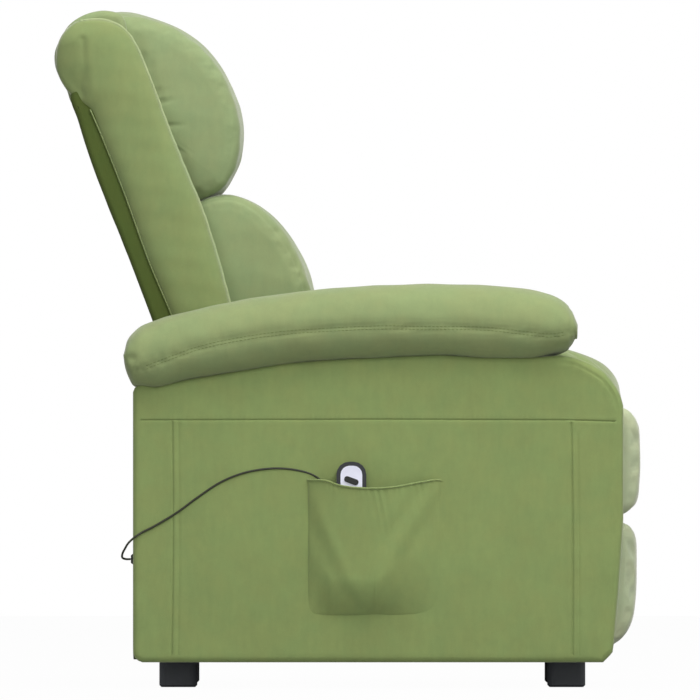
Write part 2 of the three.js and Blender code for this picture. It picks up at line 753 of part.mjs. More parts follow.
function addSeatCushion(parent) {
  const underLipY = seatRailFrontY - 22;
  const outline = outlineOf([
    ...curvePoints(
      [[seatRearY - 10, seatBottomZ], [seatRearY, seatBottomZ + 20], [seatRearY, seatRearTopZ - 30]], 4,
    ),
    ...curvePoints([
      [seatRearY - 18, seatRearTopZ],
      [-60, seatCrownZ - 8],
      [-220, seatCrownZ + 2],
      [-325, seatCrownZ - 3],
      [-372, seatCrownZ - 18],
      [-403, seatCrownZ - 47],
      [seatNoseY, seatNoseZ],
      [-405, seatLipZ + 1],
    ], 14),
    [underLipY - 10, seatLipZ],
    [underLipY, seatLipZ - 8],
    [underLipY + 2, seatBottomZ + 12],
    [seatRailFrontY - 4, seatBottomZ],
  ]);
  const halfWidth = armPadInnerX - bodyInnerGap;
  const cushion = padded({
    outline, x0: -halfWidth, x1: halfWidth, edgeRadius: seatEdgeRadius, crown: 6, bands: 5,
  });
  addPiece(parent, "seat_cushion", cushion, finishes.velvet);
}

// ---- Chair body: arms -----------------------------------------------------------------------

function padUnderside(y) {
  const back = Math.max(0, y - padCrownY) / (padHeelFootY - padCrownY);
  return padUnderZ - padUnderFall * back * back;
}

function padTop(y) {
  const back = (y - padCrownY) / (padRearY - padCrownY);
  const fall = y > padCrownY ? padCrownZ - padRearZ : padFrontFall;
  return padCrownZ - fall * back * back;
}

function armPadOutline() {
  const points = [];
  const underSteps = 10;
  const topSteps = 8;
  for (let i = 0; i <= underSteps; i += 1) {
    const y = padNoseFootY + ((padHeelFootY - padNoseFootY) * i) / underSteps;
    points.push([y, padUnderside(y)]);
  }
  const heelDrop = padHeelZ - padUnderside(padHeelFootY);
  points.push(...arcPoints(padHeelFootY, padHeelZ, padHeelY - padHeelFootY, heelDrop, -60, 0, 2));
  points.push(...arcPoints(padRearY, padHeelZ, padHeelY - padRearY, padRearZ - padHeelZ, 22, 90, 3));
  for (let i = 1; i <= topSteps; i += 1) {
    const y = padRearY + ((padFrontStartY - padRearY) * i) / topSteps;
    points.push([y, padTop(y)]);
  }
  const noseRise = padTop(padFrontStartY) - padNoseZ;
  points.push(...arcPoints(padFrontStartY, padNoseZ, padFrontStartY - padFrontY, noseRise, 110, 180, 4));
  const footDrop = padNoseZ - padUnderside(padNoseFootY);
  points.push(...arcPoints(padNoseFootY, padNoseZ, padNoseFootY - padFrontY, footDrop, 202, 258, 3));
  return outlineOf(points);
}

// The rounded front edge of an arm, from the floor end up to the pad's underside.
function armFrontEdge() {
  const topY = bodyFrontY + frontTopRadiusY;
  const points = [
    [bodyFrontY + frontLean, panelClearance + panelCornerRadius],
    [bodyFrontY, frontLeanTopZ],
    ...arcPoints(topY, frontTopZ - frontTopRadiusZ, frontTopRadiusY, frontTopRadiusZ, 180, 90, 10),
    [padNoseFootY, padUnderside(padNoseFootY) - padSeatGap],
  ];
  return points;
}

function armSideShape() {
  const topSteps = 16;
  const shape = new THREE.Shape();
  const radius = panelCornerRadius;
  arcPoints(bodyFrontY + frontLean + radius, panelClearance + radius, radius, radius, 180, 270, 4)
    .forEach(([y, z], index) => (index === 0 ? shape.moveTo(y, z) : shape.lineTo(y, z)));
  arcPoints(bodyRearY - radius, panelClearance + radius, radius, radius, 270, 360, 4)
    .forEach(([y, z]) => shape.lineTo(y, z));
  shape.lineTo(bodyRearY, padUnderside(padHeelFootY) - padSeatGap);
  for (let i = 0; i < topSteps; i += 1) {
    const y = padHeelFootY + ((padNoseFootY - padHeelFootY) * i) / topSteps;
    shape.lineTo(y, padUnderside(y) - padSeatGap);
  }
  armFrontEdge().reverse().slice(0, -1).forEach(([y, z]) => shape.lineTo(y, z));
  shape.closePath();
  return shape;
}

// A strip of even thickness behind the front edge.
function armFacingShape() {
  const edge = armFrontEdge();
  const inner = edge.map(([y, z], index) => {
    const before = edge[Math.max(0, index - 1)];
    const after = edge[Math.min(edge.length - 1, index + 1)];
    const along = new THREE.Vector2(after[0] - before[0], after[1] - before[1]).normalize();
    return [y + along.y * facingThickness, z - along.x * facingThickness];
  });
  return shapeOf([...edge, ...inner.reverse()].reverse());
}

function addArms(parent) {
  const facingOuterX = sideInnerX - gap;
  for (const { name, sign } of sides) {
    const at = (x) => sign * x;
    const outer = sidePlate(armSideShape(), at(sideInnerX), at(sideOuterX));
    addPiece(parent, `side_panel_${name}`, outer, finishes.velvet);
    const joint = armInnerX + innerPanelThickness - 1;
    const rearTopZ = padUnderside(padHeelFootY) - padSeatGap;
    const frame = fuse(
      sidePlate(armSideShape(), at(armInnerX), at(armInnerX + innerPanelThickness)),
      sidePlate(armFacingShape(), at(joint), at(facingOuterX)),
      block(at(joint), at(facingOuterX), bodyRearY - facingThickness, bodyRearY, armBackBottomZ, rearTopZ),
    );
    addPiece(parent, `arm_frame_${name}`, frame, finishes.velvet);
    const edges = edgesFrom(sign, armPadInnerX, armPadWidth);
    const pad = padded({
      outline: armPadOutline(), x0: edges[0], x1: edges[1], edgeRadius: padEdgeRadius, bands: 2,
    });
    addPiece(parent, `arm_pad_${name}`, pad, finishes.velvet);
  }
}

// ---- Chair body: rear -----------------------------------------------------------------------

function addRear(parent) {
  const halfWidth = armInnerX - gap;
  const innerY = bodyRearY - facingThickness;
  const skirt = block(-halfWidth, halfWidth, innerY, bodyRearY, panelClearance, valanceTopZ);
  const window = (margin, y0, y1) => block(
    controlX - inletWidth / 2 - margin, controlX + inletWidth / 2 + margin, y0, y1,
    controlZ - inletHeight / 2 - margin, controlZ + inletHeight / 2 + margin,
  );
  addPiece(parent, "rear_valance", cut(skirt, window(gap, innerY - 1, bodyRearY + 1)), finishes.lining);
  const box = block(
    controlX - controlWidth / 2, controlX + controlWidth / 2, innerY - gap - controlDepth, innerY - gap,
    controlZ - controlHeight / 2, controlZ + controlHeight / 2,
  );
  const inlet = window(0, innerY - gap - 1, bodyRearY + inletProud);
  const well = window(-4, bodyRearY + inletProud - inletWell, bodyRearY + inletProud + 1);
  addPiece(parent, "control_box", cut(fuse(box, inlet), well), finishes.blackPlastic);
}

// ---- Back -----------------------------------------------------------------------------------

function backShellOutline() {
  return outlineOf([
    [backShellFront, backShellBottom],
    [backShellRear, backShellBottom],
    [backShellRear, backRollFoot],
    [backRollRear - 3, backRollFoot + 24],
    ...curvePoints([
      [backRollRear, backRollTop - 58],
      [backRollRear - 8, backRollTop - 32],
      [backRollRear - 24, backRollTop - 12],
      [backRollRear - 44, backRollTop - 1],
      [backRollRear - 58, backRollTop - 6],
      [backRollRear - 58, backRollTop - 28],
    ], 12),
    [backRollRear - 46, backRollTop - 64],
    [backRollRear - 36, backRollTop - 92],
    [backShellFront, backRollFoot],
  ]);
}

function wingOutline() {
  return outlineOf([
    [wingFront + 10, wingBottom],
    [wingRear, wingBottom],
    [wingRear, backRollFoot - 10],
    [wingRear - 12, backRollFoot + 22],
    [wingRear - 24, backRollFoot + 56],
    [wingRear - 34, backRollFoot + 86],
    ...curvePoints([
      [wingRear - 41, wingTop - 5],
      [wingRear - 68, wingTop - 12],
      [wingRear - 86, wingTop - 30],
      [wingRear - 96, wingTop - 62],
      [wingFront + 4, wingTop - 120],
      [wingFront + 2, wingTop - 190],
      [wingFront - 3, wingTop - 320],
      [wingFront, wingTop - 420],
      [wingFront + 6, wingBottom + 40],
    ], 16),
  ]);
}

function headrestOutline() {
  return outlineOf([
    [cushionRear, headrestBottom + 6],
    [cushionRear, headrestTop - 10],
    ...curvePoints([
      [cushionRear - 12, headrestTop],
      [cushionRear - 40, headrestTop - 8],
      [cushionRear - 88, headrestTop - 35],
      [headrestFront + 38, headrestTop - 72],
      [headrestFront + 14, headrestTop - 112],
      [headrestFront, headrestNoseZ],
      [headrestFront + 2, headrestNoseZ - 44],
      [headrestFront + 16, headrestNoseZ - 88],
      [headrestFront + 42, headrestBottom + 14],
      [headrestFront + 66, headrestBottom + 2],
    ], 20),
    [cushionRear - 40, headrestBottom],
  ]);
}

function lumbarOutline() {
  const dipTop = lumbarTop - 6;
  return outlineOf([
    [cushionRear, lumbarBottom + 18],
    [cushionRear, headrestBottom - 12],
    [cushionRear - 40, headrestBottom - 6],
    ...curvePoints([
      [lumbarFront + 78, headrestBottom - 5],
      [lumbarFront + 60, dipTop - 6],
      [lumbarFront + 38, dipTop - 24],
      [lumbarFront + 20, dipTop - 52],
      [lumbarFront + 8, dipTop - 84],
      [lumbarFront, dipTop - 136],
      [lumbarFront + 1, dipTop - 190],
      [lumbarFront + 10, lumbarBottom + 24],
      [lumbarFront + 26, lumbarBottom + 6],
    ], 16),
    [cushionRear - 30, lumbarBottom],
  ]);
}

function addBack(parent) {
  const group = new THREE.Group();
  group.position.set(0, backHinge.x, backHinge.y);
  group.rotation.x = -THREE.MathUtils.degToRad(backTilt);
  parent.add(group);

  const uprightInnerX = uprightOuterX - uprightWidth;
  const hinge = new THREE.Vector2(0, 0);
  const plateTop = new THREE.Vector2(backFrameFront + backFrameDepth / 2, hingePlateReach);
  const plateKnee = new THREE.Vector2(plateTop.x, hingePlateKnee);
  for (const { name, sign } of sides) {
    const at = (x) => sign * x;
    const upright = block(
      at(uprightInnerX), at(uprightOuterX), backFrameFront, backFrameRear, uprightBottom, uprightTop,
    );
    const plateEdges = edgesFrom(sign, liftRearX, linkThickness);
    const bar = linkBar([hinge, plateKnee, plateTop], hingePlateHalfWidth, ...plateEdges);
    const plate = drill(bar, [hinge], pinRadius + pinPlay, ...plateEdges);
    const spacer = block(
      at(uprightOuterX - 1), at(liftRearX + 1), backFrameFront + 4, backFrameRear - 4,
      hingePlateReach / 2, hingePlateReach,
    );
    addPiece(group, `back_upright_${name}`, fuse(upright, plate, spacer), finishes.frameSteel);
    const wingEdges = edgesFrom(sign, wingInnerX, wingThickness);
    const wing = padded({
      outline: wingOutline(), x0: wingEdges[0], x1: wingEdges[1], edgeRadius: 20, bands: 1,
    });
    addPiece(group, `back_wing_${name}`, wing, finishes.velvet);
  }
  const boardEnd = uprightInnerX - gap;
  const boardRear = backFrameFront + backBoardThickness;
  const board = block(-boardEnd, boardEnd, backFrameFront, boardRear, backBoardBottom, uprightTop);
  addPiece(group, "back_board", board, finishes.timber);
  const shell = padded({
    outline: backShellOutline(), x0: -wingOuterX, x1: wingOuterX, edgeRadius: backShellEdge, bands: 2,
  });
  addPiece(group, "back_outer_panel", shell, finishes.lining);
  const cushionSettings = { x0: -cushionHalfWidth, x1: cushionHalfWidth, edgeRadius: cushionEdgeRadius };
  const headrest = padded({ outline: headrestOutline(), ...cushionSettings, crown: 5, bands: 4 });
  addPiece(group, "headrest_cushion", headrest, finishes.velvet);
  const lumbar = padded({ outline: lumbarOutline(), ...cushionSettings, crown: 5, bands: 4 });
  addPiece(group, "lumbar_cushion", lumbar, finishes.velvet);
}

// ---- Footrest ---------------------------------------------------------------------------------

// A footrest link on one side: a bar with holes, and studs that reach into the next link.
function footLink({ sign, pivots, holes, studs = [], innerX, studReach = 0 }) {
  const edges = edgesFrom(sign, innerX, linkThickness);
  const bar = holes.reduce(
    (piece, { pivot, radius }) => drill(piece, [pivot], radius, ...edges),
    linkBar(pivots, linkHalfWidth, ...edges),
  );
  if (studs.length === 0) return bar;
  const root = studReach > 0 ? innerX + linkThickness - 1 : innerX + 1;
  const tip = studReach > 0 ? innerX + linkThickness + studReach : innerX + studReach;
  return fuse(bar, ...studs.map((pivot) => crossBar(pinRadius, sign * root, sign * tip, pivot)));
}

function addFootrestLinks(parent) {
  const running = (pivot) => ({ pivot, radius: pinRadius + pinPlay });
  const opened = (pivot) => ({ pivot, radius: pinRadius + openPinPlay });
  const reach = footLinkPitch - gap;
  const kinds = {
    footrest_rear_link: {
      pivots: [footPivot, footElbow],
      holes: [running(footPivot)],
      studs: [footElbow],
      innerX: footRearX,
      studReach: reach,
    },
    footrest_long_link: {
      pivots: [footElbow, footBoardUpper],
      holes: [running(footElbow), opened(crankCross), running(footBoardUpper)],
      innerX: footLongX,
    },
    footrest_crank: {
      pivots: [crankPivot, crankCross, crankEnd],
      holes: [running(crankPivot)],
      studs: [crankCross, crankEnd],
      innerX: footCrankX,
      studReach: -reach,
    },
    footrest_short_link: {
      pivots: [crankEnd, footBoardLower],
      holes: [running(crankEnd), opened(footBoardLower)],
      innerX: footLongX,
    },
  };
  for (const [kind, settings] of Object.entries(kinds)) {
    for (const { name, sign } of sides) {
      addPiece(parent, `${kind}_${name}`, footLink({ sign, ...settings }), finishes.linkSteel);
    }
  }
}

function addFootBoard(parent) {
  const boardFrontY = boardBackY - boardThickness;
  const board = block(-boardHalfWidth, boardHalfWidth, boardFrontY, boardBackY, boardBottomZ, boardTopZ);
  const tabs = sides.flatMap(({ sign }) => {
    const edges = edgesFrom(sign, footCrankX, linkThickness);
    const pivots = [footBoardLower, footBoardUpper];
    const bar = linkBar(pivots, boardTabHalfWidth, ...edges);
    const web = block(
      ...edges, boardBackY - 1, footBoardUpper.x,
      footBoardLower.y - boardTabHalfWidth, footBoardUpper.y + boardTabHalfWidth,
    );
    const studEnd = sign * (footLongX + gap);
    const studs = pivots.map((pivot) => crossBar(pinRadius, sign * (footCrankX + 1), studEnd, pivot));
    return [bar, web, ...studs];
  });
  addPiece(parent, "footrest_board", fuse(board, ...tabs), finishes.frameSteel);
  const backY = boardFrontY - gap;
  const upper = outlineOf([
    [backY, upperPadBottom + 3],
    [backY, upperPadTop - 17],
    ...curvePoints([
      [backY - 16, upperPadTop - 6],
      [upperPadFront + 26, upperPadTop],
      [upperPadFront + 13, upperPadTop - 11],
      [upperPadFront + 3, upperPadTop - 36],
      [upperPadFront, upperPadTop - 76],
      [upperPadFront + 4, upperPadBottom + 34],
      [upperPadFront + 12, upperPadBottom + 12],
      [upperPadFront + 28, upperPadBottom + 1],
    ], 16),
  ]);
  const lower = outlineOf([
    [backY, lowerPadBottom + 8],
    [backY, lowerPadTop - 3],
    ...curvePoints([
      [lowerPadFront + 27, lowerPadTop],
      [lowerPadFront + 12, lowerPadTop - 5],
      [lowerPadFront + 5, lowerPadTop - 20],
      [lowerPadFront, lowerPadTop - 70],
      [lowerPadFront + 2, lowerPadTop - 122],
      [lowerPadFront + 8, lowerPadBottom + 42],
      [lowerPadFront + 20, lowerPadBottom + 18],
      [lowerPadFront + 37, lowerPadBottom + 2],
    ], 16),
  ]);
  const settings = { x0: -footPadHalfWidth, x1: footPadHalfWidth, edgeRadius: footPadEdgeRadius, bands: 3 };
  addPiece(parent, "footrest_pad_upper", padded({ outline: upper, ...settings }), finishes.velvet);
  addPiece(parent, "footrest_pad_lower", padded({ outline: lower, ...settings }), finishes.velvet);
}

// ---- Pocket -------------------------------------------------------------------------------------

// How far the pocket's cloth stands off the side panel, at shares s (-1 front to 1 rear) and
// t (0 bottom to 1 hem). Two folds run from the top corners down to the middle of the bottom.
function pocketStandOff(s, t) {
  const across = 1 - Math.abs(s) ** 8;
  const rise = 1 - Math.max(0, 1 - t / pocketFootShare) ** 3;
  const foldLine = Math.abs(s) - t;
  const fold = pocketFoldHeight * Math.exp(-(foldLine ** 2) / 0.012) * Math.sin(Math.PI * t);
  return (pocketDepth + fold) * across * rise;
}

function pocketGeometry() {
  const columns = 16;
  const rows = 10;
  const faceX = -(sideOuterX + gap);
  const sheet = [0, pocketThickness].map((thickness) => {
    const grid = [];
    for (let r = 0; r <= rows; r += 1) {
      for (let c = 0; c <= columns; c += 1) {
        const s = (2 * c) / columns - 1;
        const t = r / rows;
        const y = pocketFrontY + (pocketRearY - pocketFrontY) * (c / columns);
        const hem = pocketHemZ - pocketHemDip * (1 - s * s);
        const z = pocketBottomZ + (hem - pocketBottomZ) * t;
        grid.push([faceX - pocketStandOff(s, t) * (1 - pocketThickness / pocketDepth) - thickness, y, z]);
      }
    }
    return grid;
  });
  const [inner, outer] = sheet;
  const width = columns + 1;
  const positions = [...inner, ...outer].flat();
  const offset = inner.length;
  const index = [];
  const quad = (a, b, c, d) => index.push(a, b, c, a, c, d);
  for (let r = 0; r < rows; r += 1) {
    for (let c = 0; c < columns; c += 1) {
      const a = r * width + c;
      quad(a, a + 1, a + 1 + width, a + width);
      quad(offset + a, offset + a + width, offset + a + 1 + width, offset + a + 1);
    }
  }
  for (let c = 0; c < columns; c += 1) {
    const top = rows * width + c;
    quad(c, offset + c, offset + c + 1, c + 1);
    quad(top, top + 1, offset + top + 1, offset + top);
  }
  for (let r = 0; r < rows; r += 1) {
    const front = r * width;
    const rear = front + columns;
    quad(front, front + width, offset + front + width, offset + front);
    quad(rear, offset + rear, offset + rear + width, rear + width);
  }
  const geometry = new THREE.BufferGeometry();
  geometry.setAttribute("position", new THREE.Float32BufferAttribute(positions, 3));
  geometry.setIndex(index);
  geometry.computeVertexNormals();
  return geometry;
}

// ---- Handset and cord -----------------------------------------------------------------------------

const handsetFaceX = -(sideOuterX + handsetStandOff + handsetThickness);

function roundedOblong(length, width, radius, centreY, centreZ, turn = 0) {
  const shape = [];
  const halfY = length / 2 - radius;
  const halfZ = width / 2 - radius;
  const corners = [[halfY, -halfZ, -90], [halfY, halfZ, 0], [-halfY, halfZ, 90], [-halfY, -halfZ, 180]];
  corners.forEach(([y, z, from]) => shape.push(...arcPoints(y, z, radius, radius, from, from + 90, 4)));
  const angle = THREE.MathUtils.degToRad(turn);
  return shapeOf(shape.map(([y, z]) => [
    centreY + y * Math.cos(angle) - z * Math.sin(angle),
    centreZ + y * Math.sin(angle) + z * Math.cos(angle),
  ]));
}

const buttonPlaces = [
  { name: "up", z: handsetTopZ - buttonTopOffset },
  { name: "down", z: handsetTopZ - buttonTopOffset - buttonPitch },
];

function buttonShape(z, play) {
  const length = buttonLength + 2 * play;
  const width = buttonWidth + 2 * play;
  return roundedOblong(length, width, width / 2 - 0.5, handsetY, z, buttonTilt);
}

function addHandset(parent) {
  const backX = -(sideOuterX + handsetStandOff);
  const centreZ = handsetTopZ - handsetHeight / 2;
  const outline = roundedOblong(handsetWidth, handsetHeight, handsetCorner, handsetY, centreZ);
  const body = sidePlate(outline, handsetFaceX, backX);
  const reliefTop = handsetTopZ - handsetHeight;
  const relief = new THREE.CylinderGeometry(reliefRadius, reliefRadius * 0.8, reliefLength + 1, 12);
  relief.rotateX(Math.PI / 2).translate(
    (handsetFaceX + backX) / 2, handsetY, reliefTop - reliefLength / 2 + 0.5,
  );
  const wells = buttonPlaces.map(({ z }) =>
    sidePlate(buttonShape(z, buttonPlay), handsetFaceX - 1, handsetFaceX + buttonWell),
  );
  addPiece(parent, "handset_case", cut(fuse(body, relief), ...wells), finishes.blackPlastic);
  const plateOuterX = handsetFaceX - gap - facePlateThickness;
  const plateShape = roundedOblong(
    handsetWidth - 2 * facePlateInset, handsetHeight - 2 * facePlateInset, facePlateCorner,
    handsetY, centreZ,
  );
  const windows = buttonPlaces.map(({ z }) =>
    sidePlate(buttonShape(z, buttonPlay), plateOuterX - 1, handsetFaceX + 1),
  );
  const plate = cut(sidePlate(plateShape, plateOuterX, handsetFaceX - gap), ...windows);
  addPiece(parent, "handset_face_plate", plate, finishes.palePlastic);
  buttonPlaces.forEach(({ name, z }) => {
    const inner = handsetFaceX + buttonWell - buttonTravel - gap;
    const button = sidePlate(buttonShape(z, 0), plateOuterX - buttonRise, inner);
    addPiece(parent, `handset_button_${name}`, button, finishes.rubber);
  });
}

// The cord leaves the grommet at the rear, rounds the panel's corner, hangs across the panel and
// drops behind the pocket's hem to the foot of the handset.
function cordPoints() {
  const onPanel = -(sideOuterX + cordDiameter / 2 + gap);
  const handsetX = (handsetFaceX - (sideOuterX + handsetStandOff)) / 2;
  const reliefEnd = handsetTopZ - handsetHeight - reliefLength - gap;
  const exitY = bodyRearY + gap + grommetRise + gap;
  return [
    [grommetX, exitY, grommetZ],
    [grommetX, exitY + 7, grommetZ],
    [grommetX - 5, exitY + 12, grommetZ + 2],
    [grommetX - 15, exitY + 12, grommetZ + 8],
    [grommetX - 27, exitY + 8, grommetZ + 16],
    [onPanel + 1, exitY + 3, grommetZ + 24],
    [onPanel - 2, bodyRearY - 2, grommetZ + 32],
    [onPanel, 302, 230],
    [onPanel, 286, 238],
    [onPanel, 251, 259],
    [onPanel, 221, 281],
    [onPanel, 186, 304],
    [onPanel, 150, 318],
    [onPanel, 110, 324],
    [onPanel, 78, 322],
    [onPanel, 52, 315],
    [onPanel - 1, 36, 303],
    [onPanel - 2, 28, 284],
    [onPanel - 4, 25, 250],
    [onPanel - 6, 25, 210],
    [onPanel - 8, 23, 168],
    [handsetX, 18, 146],
    [handsetX, 8, 136],
    [handsetX, -2, 140],
    [handsetX, handsetY, 148],
    [handsetX, handsetY, reliefEnd],
  ].map((point) => new THREE.Vector3(...point));
}

function cordGeometry() {
  const section = new THREE.Shape();
  for (let i = 0; i < cordSides; i += 1) {
    const angle = (2 * Math.PI * i) / cordSides;
    const x = (cordDiameter / 2) * Math.cos(angle);
    const y = (cordDiameter / 2) * Math.sin(angle);
    if (i === 0) section.moveTo(x, y);
    else section.lineTo(x, y);
  }
  section.closePath();
  const extrudePath = new THREE.CatmullRomCurve3(cordPoints(), false, "centripetal");
  return new THREE.ExtrudeGeometry(section, { steps: cordSteps, bevelEnabled: false, extrudePath });
}

function addPocketAndCord(parent) {
  addPiece(parent, "side_pocket", pocketGeometry(), finishes.velvet);
  const grommet = new THREE.CylinderGeometry(grommetRadius * 0.7, grommetRadius, grommetRise, 16);
  const placed = grommet.translate(grommetX, bodyRearY + gap + grommetRise / 2, grommetZ);
  addPiece(parent, "cord_grommet", placed, finishes.rubber);
  addPiece(parent, "handset_cord", cordGeometry(), finishes.rubber);
}

// ---- The whole chair --------------------------------------------------------------------------------

addFloorFrame(chair);
addLiftLinks(chair);
addActuator(chair);
addMechanism(chair);
addSeatFrame(chair);
addSeatCushion(chair);
addArms(chair);
addRear(chair);
addBack(chair);
addFootrestLinks(chair);
addFootBoard(chair);
addHandset(chair);
addPocketAndCord(chair);

export default chair;
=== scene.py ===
"""Upholstery, finishes, light and camera of a powered lift recliner chair.

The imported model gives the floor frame, the linkages and every piece's place. This script puts
the padded upholstery, its seams and stitching, the pocket and the handset's cord round it.
Sizes are in millimetres in the chair's frame, where the sitter faces -Y and +Z is up.
"""

from __future__ import annotations

import json
import logging
import math
from abc import ABC, abstractmethod
from dataclasses import dataclass
from enum import Enum
from functools import partial
from typing import Callable, Optional, Sequence, Union

import bmesh
import bpy
import numpy as np
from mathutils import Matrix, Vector
from mathutils.bvhtree import BVHTree
from mathutils.geometry import delaunay_2d_cdt

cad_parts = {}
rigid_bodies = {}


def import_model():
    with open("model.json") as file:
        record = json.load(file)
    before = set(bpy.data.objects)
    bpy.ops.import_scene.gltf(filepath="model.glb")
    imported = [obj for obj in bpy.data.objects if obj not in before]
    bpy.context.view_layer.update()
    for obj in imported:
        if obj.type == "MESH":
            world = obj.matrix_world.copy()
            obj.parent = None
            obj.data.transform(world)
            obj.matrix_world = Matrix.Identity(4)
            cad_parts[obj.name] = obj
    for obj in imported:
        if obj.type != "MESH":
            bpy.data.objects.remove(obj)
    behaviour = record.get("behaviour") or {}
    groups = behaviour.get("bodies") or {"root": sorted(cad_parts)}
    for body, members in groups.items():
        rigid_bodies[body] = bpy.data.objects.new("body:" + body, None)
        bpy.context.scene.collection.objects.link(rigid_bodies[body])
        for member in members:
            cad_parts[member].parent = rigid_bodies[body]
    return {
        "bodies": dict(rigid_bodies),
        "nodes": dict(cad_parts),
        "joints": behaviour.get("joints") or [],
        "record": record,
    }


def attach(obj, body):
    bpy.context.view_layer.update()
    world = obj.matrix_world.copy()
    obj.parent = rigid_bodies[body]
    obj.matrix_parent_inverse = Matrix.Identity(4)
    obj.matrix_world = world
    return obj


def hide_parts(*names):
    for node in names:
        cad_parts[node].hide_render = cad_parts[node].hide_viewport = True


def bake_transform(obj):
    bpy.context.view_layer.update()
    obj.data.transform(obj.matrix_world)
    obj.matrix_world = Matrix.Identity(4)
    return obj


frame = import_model()

LOG = logging.getLogger("recliner")

MM = 0.001
WELD = 0.00001  # vertices nearer than this, in metres, become one
REPEATED = 1e-3  # two points of a line nearer than this, in millimetres, are one
TINY = 1e-9  # keeps a division by a length of zero out
SPAN_STEPS = 12  # steps from knot to knot before a spline is evened out
WHITE = (1.0, 1.0, 1.0, 1.0)

Points = Sequence[tuple[float, ...]]
Colour = tuple[float, float, float]
Array = np.ndarray
Piece = bpy.types.Object
Faces = Sequence[Sequence[int]]
Relief = Callable[[Array, Array], Array]  # from vertices and normals to moves
Placing = Callable[[Array, Array], Array]  # from plane points and heights to points


class Side(Enum):
    """The two sides of the chair, with the sign of X on each."""

    LEFT = 1
    RIGHT = -1

    @property
    def label(self) -> str:
        """The word that piece names end in."""
        return self.name.lower()


class Body(Enum):
    """The moving bodies that carry covers."""

    CHAIR = "chair"
    BACK = "back"
    FOOTREST = "footrest"


# ---- Lines and surfaces ---------------------------------------------------------------------


def unit(values: Array) -> Array:
    """Values kept between 0 and 1."""
    return np.clip(values, 0, 1)


def bell(distance: Array, width: Union[float, Array]) -> Array:
    """A bump that is 1 where a distance is 0 and fades over a width."""
    return np.exp(-((distance / width) ** 2))


def unit_rows(vectors: Array) -> Array:
    """Vectors, one a row, brought to length 1."""
    return vectors / np.maximum(np.linalg.norm(vectors, axis=1, keepdims=True), TINY)


def beside(along: Array) -> Array:
    """Directions in a plane, each turned a quarter turn to its left."""
    return np.column_stack([-along[:, 1], along[:, 0]])


def step_lengths(line: Array) -> Array:
    """The lengths of a polyline's steps."""
    return np.linalg.norm(np.diff(line, axis=0), axis=1)


def length_of(line: Array) -> float:
    """The length of a polyline."""
    return float(step_lengths(line).sum())


def mix(first: Array, second: Array, t: float, low: float, high: float) -> Array:
    """The place between two points that a value has between two bounds."""
    return (high - t) / (high - low) * first + (t - low) / (high - low) * second


def spline(knots: Points, count: int, closed: bool = False) -> Array:
    """Runs a smooth line through knots, with points at even steps along it.

    Args:
        knots: The points to pass through, each with two or three numbers.
        count: How many points the line gets.
        closed: True if the line comes back to its start.

    Returns:
        An array of count points.
    """
    pts = np.asarray(knots, float)
    if closed:
        pts = np.vstack([pts[-1], pts, pts[0], pts[1]])
    else:
        pts = np.vstack([2 * pts[0] - pts[1], pts, 2 * pts[-1] - pts[-2]])
    fine = []
    for a, b, c, d in zip(pts[:-3], pts[1:-2], pts[2:-1], pts[3:]):
        spans = [max(np.linalg.norm(q - p), 1e-6) ** 0.5 for p, q in ((a, b), (b, c), (c, d))]
        t0, t1, t2, t3 = np.cumsum([0.0, *spans])
        for t in np.linspace(t1, t2, SPAN_STEPS, endpoint=False):
            ab, bc, cd = mix(a, b, t, t0, t1), mix(b, c, t, t1, t2), mix(c, d, t, t2, t3)
            fine.append(mix(mix(ab, bc, t, t0, t2), mix(bc, cd, t, t1, t3), t, t1, t2))
    fine.append(fine[0] if closed else pts[-2])
    return even(np.array(fine), count, closed)


def even(line: Array, count: int, closed: bool = False) -> Array:
    """Spreads points at even steps along a polyline.

    Args:
        line: The polyline's points; a closed one repeats its first point at its end.
        count: How many points to give.
        closed: True to leave the repeated end point out.

    Returns:
        An array of count points.
    """
    along = np.concatenate([[0.0], np.cumsum(step_lengths(line))])
    wanted = np.linspace(0, along[-1], count, endpoint=not closed)
    return np.stack([np.interp(wanted, along, column) for column in line.T], axis=1)


def distance_to_line(points: Array, line: Array) -> tuple[Array, Array]:
    """Measures points against a polyline.

    Args:
        points: The points, one a row.
        line: The polyline, in as many dimensions.

    Returns:
        Each point's distance to the line, and how far along the line its nearest place is.
    """
    best = np.full(len(points), 1e9)
    where = np.zeros(len(points))
    run = 0.0
    for a, b in zip(line[:-1], line[1:]):
        step = b - a
        length = float(np.linalg.norm(step))
        if length < TINY:
            continue
        t = unit((points - a) @ step / length**2)
        gap = np.linalg.norm(points - (a + t[:, None] * step), axis=1)
        closer = gap < best
        best[closer] = gap[closer]
        where[closer] = run + t[closer] * length
        run += length
    return best, where


def closed_up(loop: Array) -> Array:
    """A loop with its first point repeated at its end."""
    return np.vstack([loop, loop[:1]])


def ripple(along: Array, pitch: float, seed: float) -> Array:
    """Uneven ridges like those of gathered cloth, from -1 to 1.

    Args:
        along: How far along the cloth each point is.
        pitch: The distance between two ridges.
        seed: Sets one row of ridges apart from another.

    Returns:
        The ridges' height at each point.
    """
    turn = along * (2 * math.pi / pitch)
    wander = 1.1 * np.sin(turn * 0.23 + seed) + 0.7 * np.sin(turn * 0.41 + 2.3 * seed)
    height = 0.6 + 0.4 * np.sin(turn * 0.17 + 3.1 * seed)
    return height * np.sin(turn + wander)


def drift(points: Array, pitch: float, seed: float) -> Array:
    """Slow waves over a surface, from about -1 to 1, that give padding its unevenness.

    Args:
        points: The surface's points.
        pitch: The distance between two waves.
        seed: Sets one surface apart from another.

    Returns:
        The waves' height at each point.
    """
    x, y, z = (points * (2 * math.pi / pitch)).T
    first = np.sin(x + 0.7 * y + seed) * np.cos(0.8 * z - 0.3 * x + 2 * seed)
    second = np.sin(1.7 * y - 1.3 * z + 3 * seed) * np.cos(1.1 * x + 1.9 * z)
    return 0.6 * first + 0.4 * second


